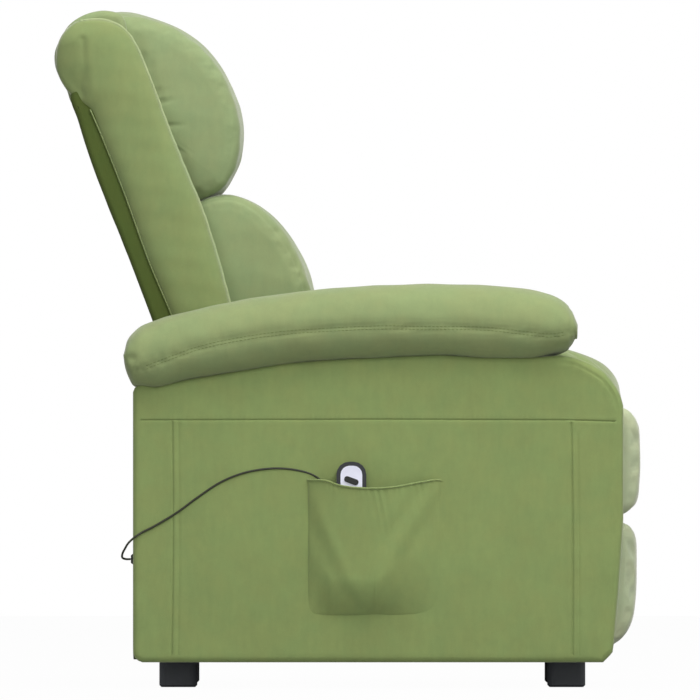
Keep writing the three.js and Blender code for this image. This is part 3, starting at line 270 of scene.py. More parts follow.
def inside(points: Array, loop: Array) -> Array:
    """Tells which points of a plane a closed loop holds.

    Args:
        points: The points, one a row.
        loop: The loop's corners.

    Returns:
        True or False for each point.
    """
    x, y = points.T
    held = np.zeros(len(points), bool)
    previous = loop[-1]
    for corner in loop:
        crosses = (corner[1] > y) != (previous[1] > y)
        rise = previous[1] - corner[1]
        if abs(rise) > 1e-12:
            at = (previous[0] - corner[0]) * (y - corner[1]) / rise + corner[0]
            held ^= crosses & (x < at)
        previous = corner
    return held


def offset_loop(loop: Array, inset: float) -> Array:
    """Moves a closed anticlockwise loop inwards.

    Args:
        loop: The loop's corners.
        inset: How far to move them.

    Returns:
        The moved loop.
    """
    inwards = beside(unit_rows(np.roll(loop, -1, axis=0) - np.roll(loop, 1, axis=0)))
    for _ in range(2):
        inwards = (np.roll(inwards, 1, axis=0) + 2 * inwards + np.roll(inwards, -1, axis=0)) / 4
    return loop + unit_rows(inwards) * inset


def anticlockwise(loop: Array) -> Array:
    """Turns a loop round if it runs clockwise.

    Args:
        loop: The loop's corners.

    Returns:
        The same corners in anticlockwise order.
    """
    x, y = loop.T
    area = float(np.sum(x * np.roll(y, -1) - np.roll(x, -1) * y))
    return loop if area > 0 else loop[::-1].copy()


# ---- Meshes ---------------------------------------------------------------------------------


def make_mesh(name: str, points: Array, faces: Faces, smooth: bool = True) -> Piece:
    """Makes an object from points in millimetres.

    Args:
        name: The piece's name.
        points: The vertices.
        faces: The faces, as lists of vertex numbers.
        smooth: True for smooth shading.

    Returns:
        The object, with welded vertices and faces that look outwards.
    """
    mesh = bpy.data.meshes.new(name)
    mesh.from_pydata((np.asarray(points, float) * MM).tolist(), [], [list(f) for f in faces])
    work = bmesh.new()
    work.from_mesh(mesh)
    bmesh.ops.remove_doubles(work, verts=work.verts, dist=WELD)
    bmesh.ops.recalc_face_normals(work, faces=work.faces)
    for face in work.faces:
        face.smooth = smooth
    work.to_mesh(mesh)
    work.free()
    piece = bpy.data.objects.new(name, mesh)
    bpy.context.scene.collection.objects.link(piece)
    return piece


class Patches:
    """Patches of points and faces that become one mesh."""

    def __init__(self) -> None:
        """Starts with none."""
        self.points: list[Array] = []
        self.faces: list[list[int]] = []
        self.taken = 0

    def add(self, points: Array, faces: Faces) -> None:
        """Adds a patch, whose faces number its own points.

        Args:
            points: Its points.
            faces: Its faces, as lists of their numbers.
        """
        self.faces += [[n + self.taken for n in face] for face in faces]
        self.points.append(points)
        self.taken += len(points)

    def join(self, name: str) -> Piece:
        """Makes the patches one piece."""
        return make_mesh(name, np.vstack(self.points), self.faces)


def _read(piece: Piece, what: str) -> Array:
    """Three numbers of every vertex of a piece.

    Args:
        piece: The piece.
        what: The name of the vertices' property.

    Returns:
        A row of three numbers for each vertex.
    """
    flat = np.zeros(len(piece.data.vertices) * 3)
    piece.data.vertices.foreach_get(what, flat)
    return flat.reshape(-1, 3)


def read_points(piece: Piece) -> Array:
    """A piece's vertices in millimetres."""
    return _read(piece, "co") / MM


def write_points(piece: Piece, points: Array) -> None:
    """Sets a piece's vertices, given in millimetres."""
    piece.data.vertices.foreach_set("co", (points * MM).ravel())
    piece.data.update()


def read_normals(piece: Piece) -> Array:
    """A piece's vertex normals."""
    return _read(piece, "normal")


def push(piece: Piece, relief: Relief) -> None:
    """Moves each vertex along its normal.

    Args:
        piece: The piece to shape.
        relief: Gives the move in millimetres from the vertices and their normals.
    """
    points, normals = read_points(piece), read_normals(piece)
    write_points(piece, points + normals * relief(points, normals)[:, None])


def skin(rings: Array, closed_ends: bool = True) -> tuple[Array, list[list[int]]]:
    """Joins rings of points into a skin.

    Args:
        rings: An array of rings, each with as many points.
        closed_ends: True to close each end with a fan to its middle.

    Returns:
        The points and the faces.
    """
    count = rings.shape[1]
    points = rings.reshape(-1, 3)
    around = [(k, (k + 1) % count) for k in range(count)]
    faces = [
        [base + k, base + following, base + count + following, base + count + k]
        for base in range(0, (len(rings) - 1) * count, count)
        for k, following in around
    ]
    if closed_ends:
        first, last_row = len(points), (len(rings) - 1) * count
        points = np.vstack([points, rings[0].mean(axis=0), rings[-1].mean(axis=0)])
        for k, following in around:
            faces.append([first, following, k])
            faces.append([first + 1, last_row + k, last_row + following])
    return points, faces


def circle(first: Array, second: Array, flats: int) -> list[Array]:
    """Steps from a centre to the corners of a ring that two directions span."""
    angles = np.linspace(0, 2 * math.pi, flats, endpoint=False)
    return [math.cos(a) * first + math.sin(a) * second for a in angles]


def tube(name: str, line: Array, radius: float, flats: int = 8) -> Piece:
    """Makes a round cord of even thickness along a line.

    Args:
        name: The piece's name.
        line: The centre line.
        radius: The cord's radius.
        flats: How many sides the cord has.

    Returns:
        The new piece.
    """
    line = line[np.concatenate([[True], step_lengths(line) > REPEATED])]
    tangent = unit_rows(np.gradient(line, axis=0))
    across = unit_rows(np.cross(tangent, [0.31, 0.17, 0.94]))
    corners = circle(across, np.cross(tangent, across), flats)
    return make_mesh(name, *skin(np.stack([line + radius * step for step in corners], axis=1)))


@dataclass(frozen=True)
class Stitches:
    """Rows of sewing thread that dip into the cloth between stitches.

    Attributes:
        stitch: The length of one stitch.
        space: The gap between two stitches.
        radius: The thread's radius.
        swell: The thread's thickness along one stitch, as shares of its full thickness.
    """

    stitch: float = 4.4
    space: float = 1.4
    radius: float = 0.42
    swell: tuple[float, ...] = (0.35, 1.0, 1.0, 0.35)

    def sew(self, name: str, lines: Sequence[Array]) -> Piece:
        """Makes the stitches along lines.

        Args:
            name: The piece's name.
            lines: The rows' centre lines.

        Returns:
            One piece that holds every stitch.
        """
        patches, per_stitch = Patches(), len(self.swell)
        for line in lines:
            total = max(2, int(length_of(line) / (self.stitch + self.space)))
            fine = even(line, total * per_stitch + 1)
            for start in range(0, total * per_stitch, per_stitch):
                part = fine[start : start + per_stitch]
                along = part[-1] - part[0]
                along /= max(float(np.linalg.norm(along)), TINY)
                side = np.cross(along, [0.13, 0.21, 0.97])
                side /= np.linalg.norm(side)
                corners = circle(side, np.cross(along, side), 6)
                rings = [
                    [centre + self.radius * size * step for step in corners]
                    for centre, size in zip(part, self.swell)
                ]
                patches.add(*skin(np.array(rings)))
        return patches.join(name)


# ---- Shader expressions ---------------------------------------------------------------------


class Socket:
    """A node's output that takes part in Python arithmetic."""

    def __init__(self, shader: "Shader", link: bpy.types.NodeSocket) -> None:
        """Keeps the shader and the output socket."""
        self.shader = shader
        self.link = link

    def _math(self, operation: str, other: "Value") -> "Socket":
        """Adds one Math node."""
        return self.shader.node("ShaderNodeMath", {0: self, 1: other}, operation=operation)

    def __add__(self, other: "Value") -> "Socket":
        """Sum."""
        return self._math("ADD", other)

    def __mul__(self, other: "Value") -> "Socket":
        """Product."""
        return self._math("MULTIPLY", other)

    def between(self, low: float, high: float) -> "Socket":
        """This value spread from a range to 0..1, and kept inside it."""
        inputs = {"Value": self, "From Min": low, "From Max": high}
        return self.shader.node("ShaderNodeMapRange", inputs, clamp=True)


Value = Union[Socket, float, tuple]


class Shader:
    """A material or a world under construction."""

    def __init__(self, owner: Union[bpy.types.Material, bpy.types.World]) -> None:
        """Starts an empty node tree.

        Args:
            owner: The material or the world.
        """
        self.owner = owner
        owner.use_nodes = True
        self.tree = owner.node_tree
        self.tree.nodes.clear()

    def _feed(self, socket: bpy.types.NodeSocket, value: Value) -> None:
        """Sets or links one input.

        Args:
            socket: The input.
            value: A number, a colour or a link.
        """
        if isinstance(value, Socket):
            self.tree.links.new(value.link, socket)
        else:
            socket.default_value = value

    def node(
        self, kind: str, inputs: dict, output: Union[int, str] = 0, **settings: object
    ) -> Socket:
        """Adds a node.

        Args:
            kind: Its type.
            inputs: Values or links of its sockets, by name or number.
            output: The output that the answer stands for.
            settings: Its own settings, set first.

        Returns:
            That output.
        """
        made = self.tree.nodes.new(kind)
        for key, value in settings.items():
            setattr(made, key, value)
        for key, value in inputs.items():
            self._feed(made.inputs[key], value)
        return Socket(self, made.outputs[output])

    def place(self) -> Socket:
        """The point on the piece, in metres, in the frame that the piece moves with."""
        return self.node("ShaderNodeTexCoord", {}, "Object")

    def noise(
        self, scale: float, detail: float, roughness: float, at: Optional[Socket] = None
    ) -> Socket:
        """Adds soft noise.

        Args:
            scale: Its scale, per metre.
            detail: How many finer layers it has.
            roughness: How strong the finer layers are.
            at: Where it is read, if not at the point on the piece.

        Returns:
            The noise, from 0 to 1.
        """
        where = at or self.place()
        inputs = {"Vector": where, "Scale": scale, "Detail": detail, "Roughness": roughness}
        return self.node("ShaderNodeTexNoise", inputs, "Fac")

    def stretch(self, scale: tuple[float, float, float]) -> Socket:
        """The point on the piece, stretched by a factor along each axis."""
        return self.node("ShaderNodeMapping", {"Vector": self.place(), "Scale": scale})

    def blend(self, factor: Value, first: Value, second: Value) -> Socket:
        """A colour between two colours.

        Args:
            factor: The share of the second colour.
            first: The first colour.
            second: The second one.

        Returns:
            The mixed colour.
        """
        made = self.tree.nodes.new("ShaderNodeMix")
        made.data_type = "RGBA"
        for number, value in ((0, factor), (6, first), (7, second)):
            colour = (*value, 1.0) if isinstance(value, tuple) else value
            self._feed(made.inputs[number], colour)
        return Socket(self, made.outputs[2])

    def bump(self, height: Socket, strength: float, distance: float) -> Socket:
        """A normal that leans with a height."""
        inputs = {"Height": height, "Strength": strength, "Distance": distance}
        return self.node("ShaderNodeBump", inputs, "Normal")

    def end(self, surface: Socket, kind: str = "ShaderNodeOutputMaterial") -> None:
        """Links a surface to the tree's output node."""
        out = self.tree.nodes.new(kind)
        self.tree.links.new(surface.link, out.inputs["Surface"])

    def surface(self, inputs: dict) -> bpy.types.Material:
        """Ends the material with one Principled surface.

        Args:
            inputs: Values or links of the surface's sockets.

        Returns:
            The finished material.
        """
        full = {key: (*v, 1.0) if isinstance(v, tuple) else v for key, v in inputs.items()}
        self.end(self.node("ShaderNodeBsdfPrincipled", full))
        return self.owner


def paint(*levels: int) -> Colour:
    """A colour from its three 0 to 255 numbers, as light that nodes can mix."""
    shares = [level / 255 for level in levels]
    return tuple(s / 12.92 if s <= 0.04045 else ((s + 0.055) / 1.055) ** 2.4 for s in shares)


def shade(colour: Colour, factor: float) -> Colour:
    """A colour made lighter or darker."""
    return tuple(min(1.0, c * factor) for c in colour)


# ---- Finishes -------------------------------------------------------------------------------


@dataclass(frozen=True)
class Finish(ABC):
    """A procedural material.

    Attributes:
        name: The material's name.
        colour: Its colour in even light.
    """

    name: str
    colour: Colour

    def start(self) -> Shader:
        """Starts the material."""
        return Shader(bpy.data.materials.new(self.name))

    @abstractmethod
    def make(self) -> bpy.types.Material:
        """Builds the material."""


@dataclass(frozen=True)
class Velvet(Finish):
    """Short-pile velvet whose nap leans in patches.

    Attributes:
        worn: How far the nap's patches lighten and darken it.
        sheen: How strongly the pile's tips catch light along the surface.
    """

    worn: float
    sheen: float

    def make(self) -> bpy.types.Material:
        """Builds the material.

        Returns:
            The material.
        """
        cloth = self.start()
        patches = cloth.noise(11.0, 4.0, 0.6)
        mottle = cloth.noise(52.0, 3.0, 0.6)
        strokes = cloth.noise(1.0, 3.0, 0.6, at=cloth.stretch((90.0, 110.0, 30.0)))
        nap = (patches * 0.45 + mottle * 0.25 + strokes * 0.3).between(0.36, 0.64)
        red, green, blue = self.colour
        cool = (red * 0.93, green * 1.01, blue * 1.02)
        warm = (red * 1.06, green, blue * 0.98)
        tone = cloth.blend(cloth.noise(19.0, 3.0, 0.6).between(0.38, 0.62), cool, warm)
        dark = cloth.blend(0.5, shade(self.colour, 1 - 2 * self.worn), tone)
        light = cloth.blend(0.5, shade(self.colour, 1 + 2 * self.worn), tone)
        pile = cloth.noise(1500.0, 2.0, 0.6)
        tips = pile.between(0.3, 0.7)
        flecked = cloth.blend(tips, shade(self.colour, 0.8), shade(self.colour, 1.18))
        height = pile * 0.4 + mottle * 0.3 + strokes * 0.3
        return cloth.surface(
            {
                "Base Color": cloth.blend(0.26, cloth.blend(nap, dark, light), flecked),
                "Roughness": nap * 0.12 + 0.8,
                "Specular IOR Level": 0.15,
                "Sheen Weight": self.sheen,
                "Sheen Roughness": 0.38,
                "Sheen Tint": (0.9, 0.88, 0.86),
                "Normal": cloth.bump(height, 0.3, 0.0014),
            }
        )


@dataclass(frozen=True)
class CoatedMetal(Finish):
    """Bare or coated steel with a fine grain and handling marks.

    Attributes:
        metallic: 1 for bare metal, less where a coat covers it.
        roughness: How matt it is.
        grain: Scale of the surface's texture, per metre.
    """

    metallic: float
    roughness: float
    grain: float

    def make(self) -> bpy.types.Material:
        """Builds the material.

        Returns:
            The material.
        """
        metal = self.start()
        fine = metal.noise(self.grain, 3.0, 0.6)
        worn = metal.noise(38.0, 4.0, 0.65).between(0.58, 0.74)
        return metal.surface(
            {
                "Base Color": metal.blend(worn * 0.3, self.colour, shade(self.colour, 1.45)),
                "Metallic": self.metallic,
                "Roughness": fine * 0.18 + (self.roughness - 0.09),
                "Normal": metal.bump(fine, 0.18, 0.0004),
            }
        )


@dataclass(frozen=True)
class MouldedPlastic(Finish):
    """Moulded plastic or rubber with a spark-eroded grain.

    Attributes:
        roughness: How matt it is.
        grain: How deep the moulded grain is, from 0 to 1.
    """

    roughness: float
    grain: float

    def make(self) -> bpy.types.Material:
        """Builds the material.

        Returns:
            The material.
        """
        plastic = self.start()
        fine = plastic.noise(2600.0, 2.0, 0.5)
        broad = plastic.noise(24.0, 3.0, 0.6).between(0.35, 0.7)
        return plastic.surface(
            {
                "Base Color": plastic.blend(
                    broad, shade(self.colour, 0.92), shade(self.colour, 1.08)
                ),
                "Roughness": fine * 0.14 + (self.roughness - 0.07),
                "Specular IOR Level": 0.42,
                "Normal": plastic.bump(fine, self.grain, 0.0003),
            }
        )


@dataclass(frozen=True)
class Plywood(Finish):
    """Sawn frame timber with its grain along one axis."""

    def make(self) -> bpy.types.Material:
        """Builds the material.

        Returns:
            The material.
        """
        wood = self.start()
        rings = wood.noise(1.0, 5.0, 0.62, at=wood.stretch((46.0, 7.0, 90.0)))
        pores = wood.noise(1.0, 2.0, 0.5, at=wood.stretch((900.0, 60.0, 900.0)))
        grain = rings.between(0.34, 0.66)
        return wood.surface(
            {
                "Base Color": wood.blend(grain, shade(self.colour, 0.74), shade(self.colour, 1.18)),
                "Roughness": pores * 0.2 + 0.55,
                "Normal": wood.bump(rings * 0.4 + pores * 0.6, 0.25, 0.0006),
            }
        )


RECIPES: dict[str, Finish] = {
    "velvet": Velvet("sage velvet", paint(132, 148, 92), 0.09, 0.55),
    "arm_velvet": Velvet("sage velvet, arm pads", paint(136, 149, 102), 0.08, 0.3),
    "wing_velvet": Velvet("sage velvet, wings", paint(130, 144, 93), 0.08, 0.9),
    # The cushions and the roll get the sage velvet painted lighter and greyer: a painted highlight
    # for the light that their rounded faces catch.
    "cushion_velvet": Velvet("sage velvet, cushions", paint(139, 153, 109), 0.07, 0.45),
    # The footrest pads get the sage velvet painted much lighter: painted light for the front light
    # that their rounded ends catch.
    "footrest_velvet": Velvet("sage velvet, footrest", paint(184, 193, 157), 0.06, 0.45),
    # The piping cord is the wing's velvet painted lighter: a painted highlight along the wing's
    # front rim.
    "piping": Velvet("sage piping cord", paint(172, 185, 140), 0.04, 0.3),
    # The lining is the sage velvet painted dark: painted shade for the back's rear cover, which
    # sits in shade behind the wings.
    "lining": Velvet("moss lining cloth", paint(78, 92, 43), 0.06, 0.15),
    # The thread is painted dark, near the colour of the shade in the seam's groove: real stitching
    # with painted shade in its colour.
    "thread": Velvet("sewing thread", paint(104, 118, 70), 0.05, 0.2),
    "timber": Plywood("frame timber", paint(185, 143, 92)),
    "frame_steel": CoatedMetal("black powder coat", paint(43, 44, 46), 0.25, 0.45, 1800.0),
    "link_steel": CoatedMetal("zinc plate", paint(150, 153, 156), 0.92, 0.34, 900.0),
    "spring_steel": CoatedMetal("blued spring steel", paint(104, 107, 112), 0.9, 0.38, 1200.0),
    "black_plastic": MouldedPlastic("black moulding", paint(44, 46, 49), 0.5, 0.15),
    # The feet get the black moulding painted lighter: painted light that lifts them out of the
    # shade under the chair.
    "foot_plastic": MouldedPlastic("worn black moulding", paint(93, 96, 102), 0.6, 0.3),
    "pale_plastic": MouldedPlastic("pale face plate", paint(230, 231, 247), 0.4, 0.08),
    "rubber": MouldedPlastic("soft rubber", paint(40, 42, 40), 0.7, 0.2),
    "cord_jacket": MouldedPlastic("cord jacket", paint(46, 49, 34), 0.5, 0.12),
}


class Finishes:
    """Every material of the chair, by name. The record's slots are among the names."""

    def __init__(self) -> None:
        """Makes the materials."""
        self.made = {name: recipe.make() for name, recipe in RECIPES.items()}

    def __getitem__(self, name: str) -> bpy.types.Material:
        """The material of a name."""
        return self.made[name]

    def dress_solids(self, packed: dict) -> None:
        """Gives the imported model's solids their finishes.
        """
        for part in packed["record"]["subparts"]:
            node, slot = part["node"], part["material_slot"]
            # Feet take the black moulding painted lighter, as painted light against the shade under
            # the chair.
            is_foot = node.startswith("foot_") and slot == "black_plastic"
            for place in packed["nodes"][node].material_slots:
                place.link = "OBJECT"
                place.material = self["foot_plastic" if is_foot else slot]


# ---- How a cover joins the chair ------------------------------------------------------------

HINGE = (200.0, 340.0)  # the recline hinge's Y and Z, where the back's own frame starts
TILT = math.radians(20)  # how far that frame leans back at rest


def recline(points: Array) -> Array:
    """Points of the upright back, moved to where they are in the chair.

    Args:
        points: The points, one a row.

    Returns:
        The moved points.
    """
    c, s = math.cos(TILT), math.sin(TILT)
    x, y, z = points.T
    return np.stack([x, HINGE[0] + y * c + z * s, HINGE[1] - y * s + z * c], axis=1)


@dataclass(frozen=True)
class Upholstery:
    """A part of the chair with covers, which it makes and puts in place.

    Attributes:
        finishes: The chair's materials.
    """

    finishes: Finishes

    def dress(
        self,
        piece: Piece,
        body: Body,
        *nodes: str,
        finish: str = "velvet",
        slot: str = "velvet",
        fill: Optional[float] = None,
    ) -> Piece:
        """Puts a cover in place; one of the back was built upright.

        Args:
            piece: The finished cover.
            body: The moving body it rides on.
            nodes: The plain solids it stands for.
            finish: Its material.
            slot: The record's name for that finish; not used.
            fill: How full its stuffing is, or None if it isn't stuffed; not used.

        Returns:
            The same piece.
        """
        if body is Body.BACK:
            write_points(piece, recline(read_points(piece)))
        piece.data.materials.clear()
        piece.data.materials.append(self.finishes[finish])
        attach(piece, body.value)
        if nodes:
            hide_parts(*nodes)
        LOG.info("%s: %d vertices, on %s", piece.name, len(piece.data.vertices), body.value)
        return piece


def settle(piece: Piece) -> None:
    """Turns a piece's modifiers into its mesh.

    Args:
        piece: The piece.
    """
    graph = bpy.context.evaluated_depsgraph_get()
    mesh = bpy.data.meshes.new_from_object(piece.evaluated_get(graph))
    piece.modifiers.clear()
    piece.data = mesh


def refine(piece: Piece) -> None:
    """Subdivides a piece once, smoothly.

    Args:
        piece: The piece.
    """
    smooth = piece.modifiers.new("refine", "SUBSURF")
    smooth.levels = smooth.render_levels = 1
    settle(piece)


@dataclass(frozen=True)
class Stuffing:
    """How the cloth of a cushion fills out over its foam.

    Attributes:
        slack: How much longer the cloth is than its pattern, as a share.
        most: The furthest that the cloth may move.
        pressure: The foam's push on the cloth.
        frames: How many frames the cloth gets to come to rest.
    """

    slack: float
    most: float
    pressure: float = 4.0
    frames: int = 20

    def fill(self, piece: Piece, sewn: Array) -> None:
        """Fills a cover until its cloth rests.

        Args:
            piece: The closed cover.
            sewn: True for the vertices that stay where they are sewn or glued.
        """
        before = read_points(piece)
        held = piece.vertex_groups.new(name="sewn")
        held.add([int(i) for i in np.flatnonzero(sewn)], 1.0, "REPLACE")
        cloth = piece.modifiers.new("cloth", "CLOTH")
        rules = {
            "quality": 5,
            "mass": 0.3,
            "tension_stiffness": 15,
            "compression_stiffness": 15,
            "shear_stiffness": 5,
            "bending_stiffness": 0.5,
            "use_pressure": True,
            "uniform_pressure_force": self.pressure,
            "vertex_group_mass": held.name,
            "shrink_min": -self.slack,
        }
        for rule, value in rules.items():
            setattr(cloth.settings, rule, value)
        cloth.settings.effector_weights.gravity = 0
        cloth.collision_settings.use_self_collision = False
        scene = bpy.context.scene
        for moment in range(1, self.frames + 1):
            scene.frame_set(moment)
        settle(piece)
        scene.frame_set(1)
        move = read_points(piece) - before
        size = np.linalg.norm(move, axis=1, keepdims=True)
        kept = self.most * np.tanh(size / self.most) / np.maximum(size, TINY)
        write_points(piece, before + move * kept)
        piece.vertex_groups.clear()


# ---- Padded boards and their seams ----------------------------------------------------------


@dataclass(frozen=True)
class Seam:
    """A seam line on a padded face, with the cloth swelling beside it.

    Attributes:
        line: The seam's line, in the face's plane.
        depth: How deep the stitching pulls the cloth.
        width: How wide the groove is.
        swell: How far the cloth rises beside it.
    """

    line: Array
    depth: float
    width: float
    swell: float

    BESIDE = 3.2  # where the cloth swells most, in widths from the line
    GUIDES = (-2.4, -1.4, -0.7, 0, 0.7, 1.4, 2.4)  # rows of points, in widths from the line

    def relief(self, points: Array) -> Array:
        """How far each point of the face rises, negative in the groove.

        Args:
            points: Plane points of the face.

        Returns:
            The rise at each point.
        """
        away, along = distance_to_line(points, self.line)
        turn = 2 * math.pi * along
        pucker = 1 + 0.16 * np.sin(turn / 11) * np.sin(turn / 47 + 1)
        rise = self.swell * bell(away - self.BESIDE * self.width, 2.4 * self.width)
        return rise - self.depth * pucker * bell(away, self.width)

    def guides(self) -> Array:
        """Points beside the line that a face needs to show the groove.

        Returns:
            The plane points.
        """
        fine = even(self.line, max(4, int(length_of(self.line) / (1.6 * self.width))))
        aside = beside(unit_rows(np.gradient(fine, axis=0))) * self.width
        return np.vstack([fine + aside * k for k in self.GUIDES])


@dataclass(frozen=True)
class PaddedBoard:
    """A covered board cut to an outline, with rounded edges and seams on its outer face.

    Attributes:
        name: The piece's name.
        outline: A closed loop in the board's plane.
        inner: Where the inner face is, along the board's third axis.
        outer: Where the outer face is.
        edge: The radius of the rounded edges.
        spacing: The distance between the mesh's points.
        place: Puts plane points and heights into the chair's frame.
        swell: Gives how far the outer face rises at plane points.
        seams: The seams on the outer face.
        holes: Closed loops of the openings through the board.
    """

    name: str
    outline: Array
    inner: float
    outer: float
    edge: float
    spacing: float
    place: Placing
    swell: Callable[[Array], Array]
    seams: Sequence[Seam] = ()
    holes: Sequence[Array] = ()

    EDGE_STEPS = 6

    @property
    def _sign(self) -> float:
        """1 if the outer face looks along the third axis, -1 if it looks back."""
        return math.copysign(1, self.outer - self.inner)

    def _relief(self, points: Array) -> Array:
        """How far the outer face rises, along the third axis.

        Args:
            points: Plane points of the face.

        Returns:
            The rise at each point.
        """
        total = self.swell(points)
        for seam in self.seams:
            total = total + seam.relief(points)
        return self._sign * total

    def _fill(self, loop: Array, extra: Array) -> tuple[Array, list[list[int]]]:
        """Fills a loop with triangles, outside the holes.

        Args:
            loop: The border.
            extra: More points for the triangles to use.

        Returns:
            The plane points and the faces.
        """
        borders = [loop, *self.holes]
        edges, start = [], 0
        for border in borders:
            count = len(border)
            edges += [(start + i, start + (i + 1) % count) for i in range(count)]
            start += count
        points = [Vector(p) for p in np.vstack([*borders, extra]).tolist()]
        made = delaunay_2d_cdt(points, edges, [], 0, 1e-6)
        flat = np.array([list(v) for v in made[0]])
        faces = np.array([list(f) for f in made[2]])
        middles = flat[faces].mean(axis=1)
        kept = inside(middles, loop)
        for hole in self.holes:
            kept &= ~inside(middles, hole)
        return flat, faces[kept].tolist()

    def _grid(self, loop: Array) -> Array:
        """Even points inside a loop of the face, and closer ones beside its seams.

        Args:
            loop: The face's border.

        Returns:
            The plane points.
        """
        low, high = loop.min(axis=0), loop.max(axis=0)
        cells = []
        for i, v in enumerate(np.arange(low[1], high[1], self.spacing * 0.87)):
            across = np.arange(low[0] + (i % 2) * self.spacing / 2, high[0], self.spacing)
            cells.append(np.stack([across, np.full(len(across), v)], axis=1))
        points = np.vstack(cells)
        for seam in self.seams:
            away, _ = distance_to_line(points, seam.line)
            points = points[away > seam.BESIDE * seam.width]
        points = np.vstack([points, *[seam.guides() for seam in self.seams]])
        clear = self.spacing * 0.35
        free = inside(points, offset_loop(loop, clear))
        for hole in self.holes:
            away, _ = distance_to_line(points, closed_up(hole))
            free &= ~inside(points, hole) & (away > clear)
        return points[free]

    def _level(self, flat: Array, height: float) -> Array:
        """Plane points placed at one height."""
        return self.place(flat, np.full(len(flat), height))

    def build(self) -> Piece:
        """Makes the board.

        Returns:
            The piece.
        """
        closed = closed_up(self.outline)
        count = int(length_of(closed) / self.spacing)
        loop = anticlockwise(even(closed, count, closed=True))
        depth = self._sign * self.edge
        back_loop, face_loop = offset_loop(loop, self.edge * 0.3), offset_loop(loop, self.edge)
        rings = [self._level(back_loop, self.inner), self._level(loop, self.inner + depth * 0.3)]
        for i in range(self.EDGE_STEPS + 1):
            share = i / self.EDGE_STEPS
            turn = share * math.pi / 2
            ring = offset_loop(loop, self.edge * (1 - math.cos(turn)))
            height = self.outer - depth * (1 - math.sin(turn)) + self._relief(ring) * share**2
            rings.append(self.place(ring, height))
        patches = Patches()
        patches.add(*skin(np.array(rings), closed_ends=False))
        flat, faces = self._fill(face_loop, self._grid(face_loop))
        patches.add(self.place(flat, self.outer + self._relief(flat)), faces)
        flat, faces = self._fill(back_loop, np.zeros((0, 2)))
        patches.add(self._level(flat, self.inner), faces)
        for hole in self.holes:
            near = self.place(hole, self.outer + self._relief(hole))
            walls = np.array([near, self._level(hole, self.inner)])
            patches.add(*skin(walls, closed_ends=False))
        return patches.join(self.name)


# ---- Cushions and pads ----------------------------------------------------------------------


@dataclass(frozen=True)
class Bolster:
    """A stuffed piece with one outline across the chair's width and rounded ends.

    Attributes:
        name: The piece's name.
        outline: The knots of its outline, across the width, as a closed loop.
        half_width: Half of its width.
        end: The radius that its ends round off with.
        columns: How many outlines make it.
        around: How many points each outline has.
        fall: How much smaller its outline gets from the middle to the ends.
        dome: How far the middle of each end stands out.
        set_back: How far behind its centre each end's middle is.
        stuffing: How its cloth fills out, or None for a cover that is pulled tight.
    """

    name: str
    outline: Points
    half_width: float
    end: float
    columns: int
    around: int
    fall: float = 0.0
    dome: float = 0.0
    set_back: float = 0.0
    stuffing: Optional[Stuffing] = None

    CAP = (0.92, 0.82, 0.7, 0.56, 0.42, 0.28, 0.14, 0.04)  # sizes of the rings that close an end
    END_RINGS = 8
    TAKEN_IN = 0.4  # share of the cloth's furthest move that its pattern is cut smaller

    def _cap(self, ring: Array) -> list[Array]:
        """Shrinking rings that close one end in a shallow dome.

        Args:
            ring: The end's outermost ring.

        Returns:
            The rings, from the largest to the smallest.
        """
        middle = ring.mean(axis=0) + (0.0, self.set_back, 0.0)
        rings = []
        for share in self.CAP:
            inner = middle + (ring - middle) * share
            inner[:, 0] += math.copysign(self.dome * (1 - share**2), ring[0, 0])
            rings.append(inner)
        return rings

    def build(self) -> Piece:
        """Makes the piece, smooth and closed, in the frame of its outline.

        Returns:
            The piece.
        """
        loop = anticlockwise(spline(self.outline, self.around, closed=True))
        slack = self.stuffing.most * self.TAKEN_IN if self.stuffing else 0.0
        quarter = np.linspace(-math.pi / 2, math.pi / 2, 2 * self.END_RINGS + 1)
        turns = quarter[: self.END_RINGS]
        bend = self.half_width - self.dome - self.end
        left = [(-bend + self.end * math.sin(t), self.end * (1 - math.cos(t))) for t in turns]
        middle = [(x, 0.0) for x in np.linspace(-bend, bend, self.columns)]
        right = [(-x, inset) for x, inset in reversed(left)]
        rings = []
        for x, inset in left + middle + right:
            share = min(1.0, abs(x) / self.half_width)
            ring = offset_loop(loop, slack + inset + self.fall * share**2.5)
            rings.append(np.column_stack([np.full(len(ring), x), ring]))
        rings = [*self._cap(rings[0])[::-1], *rings, *self._cap(rings[-1])]
        piece = make_mesh(self.name, *skin(np.array(rings)))
        if self.stuffing:
            sewn = np.abs(read_points(piece)[:, 0]) > bend + self.end * 0.9
            self.stuffing.fill(piece, sewn)
            refine(piece)
        return piece


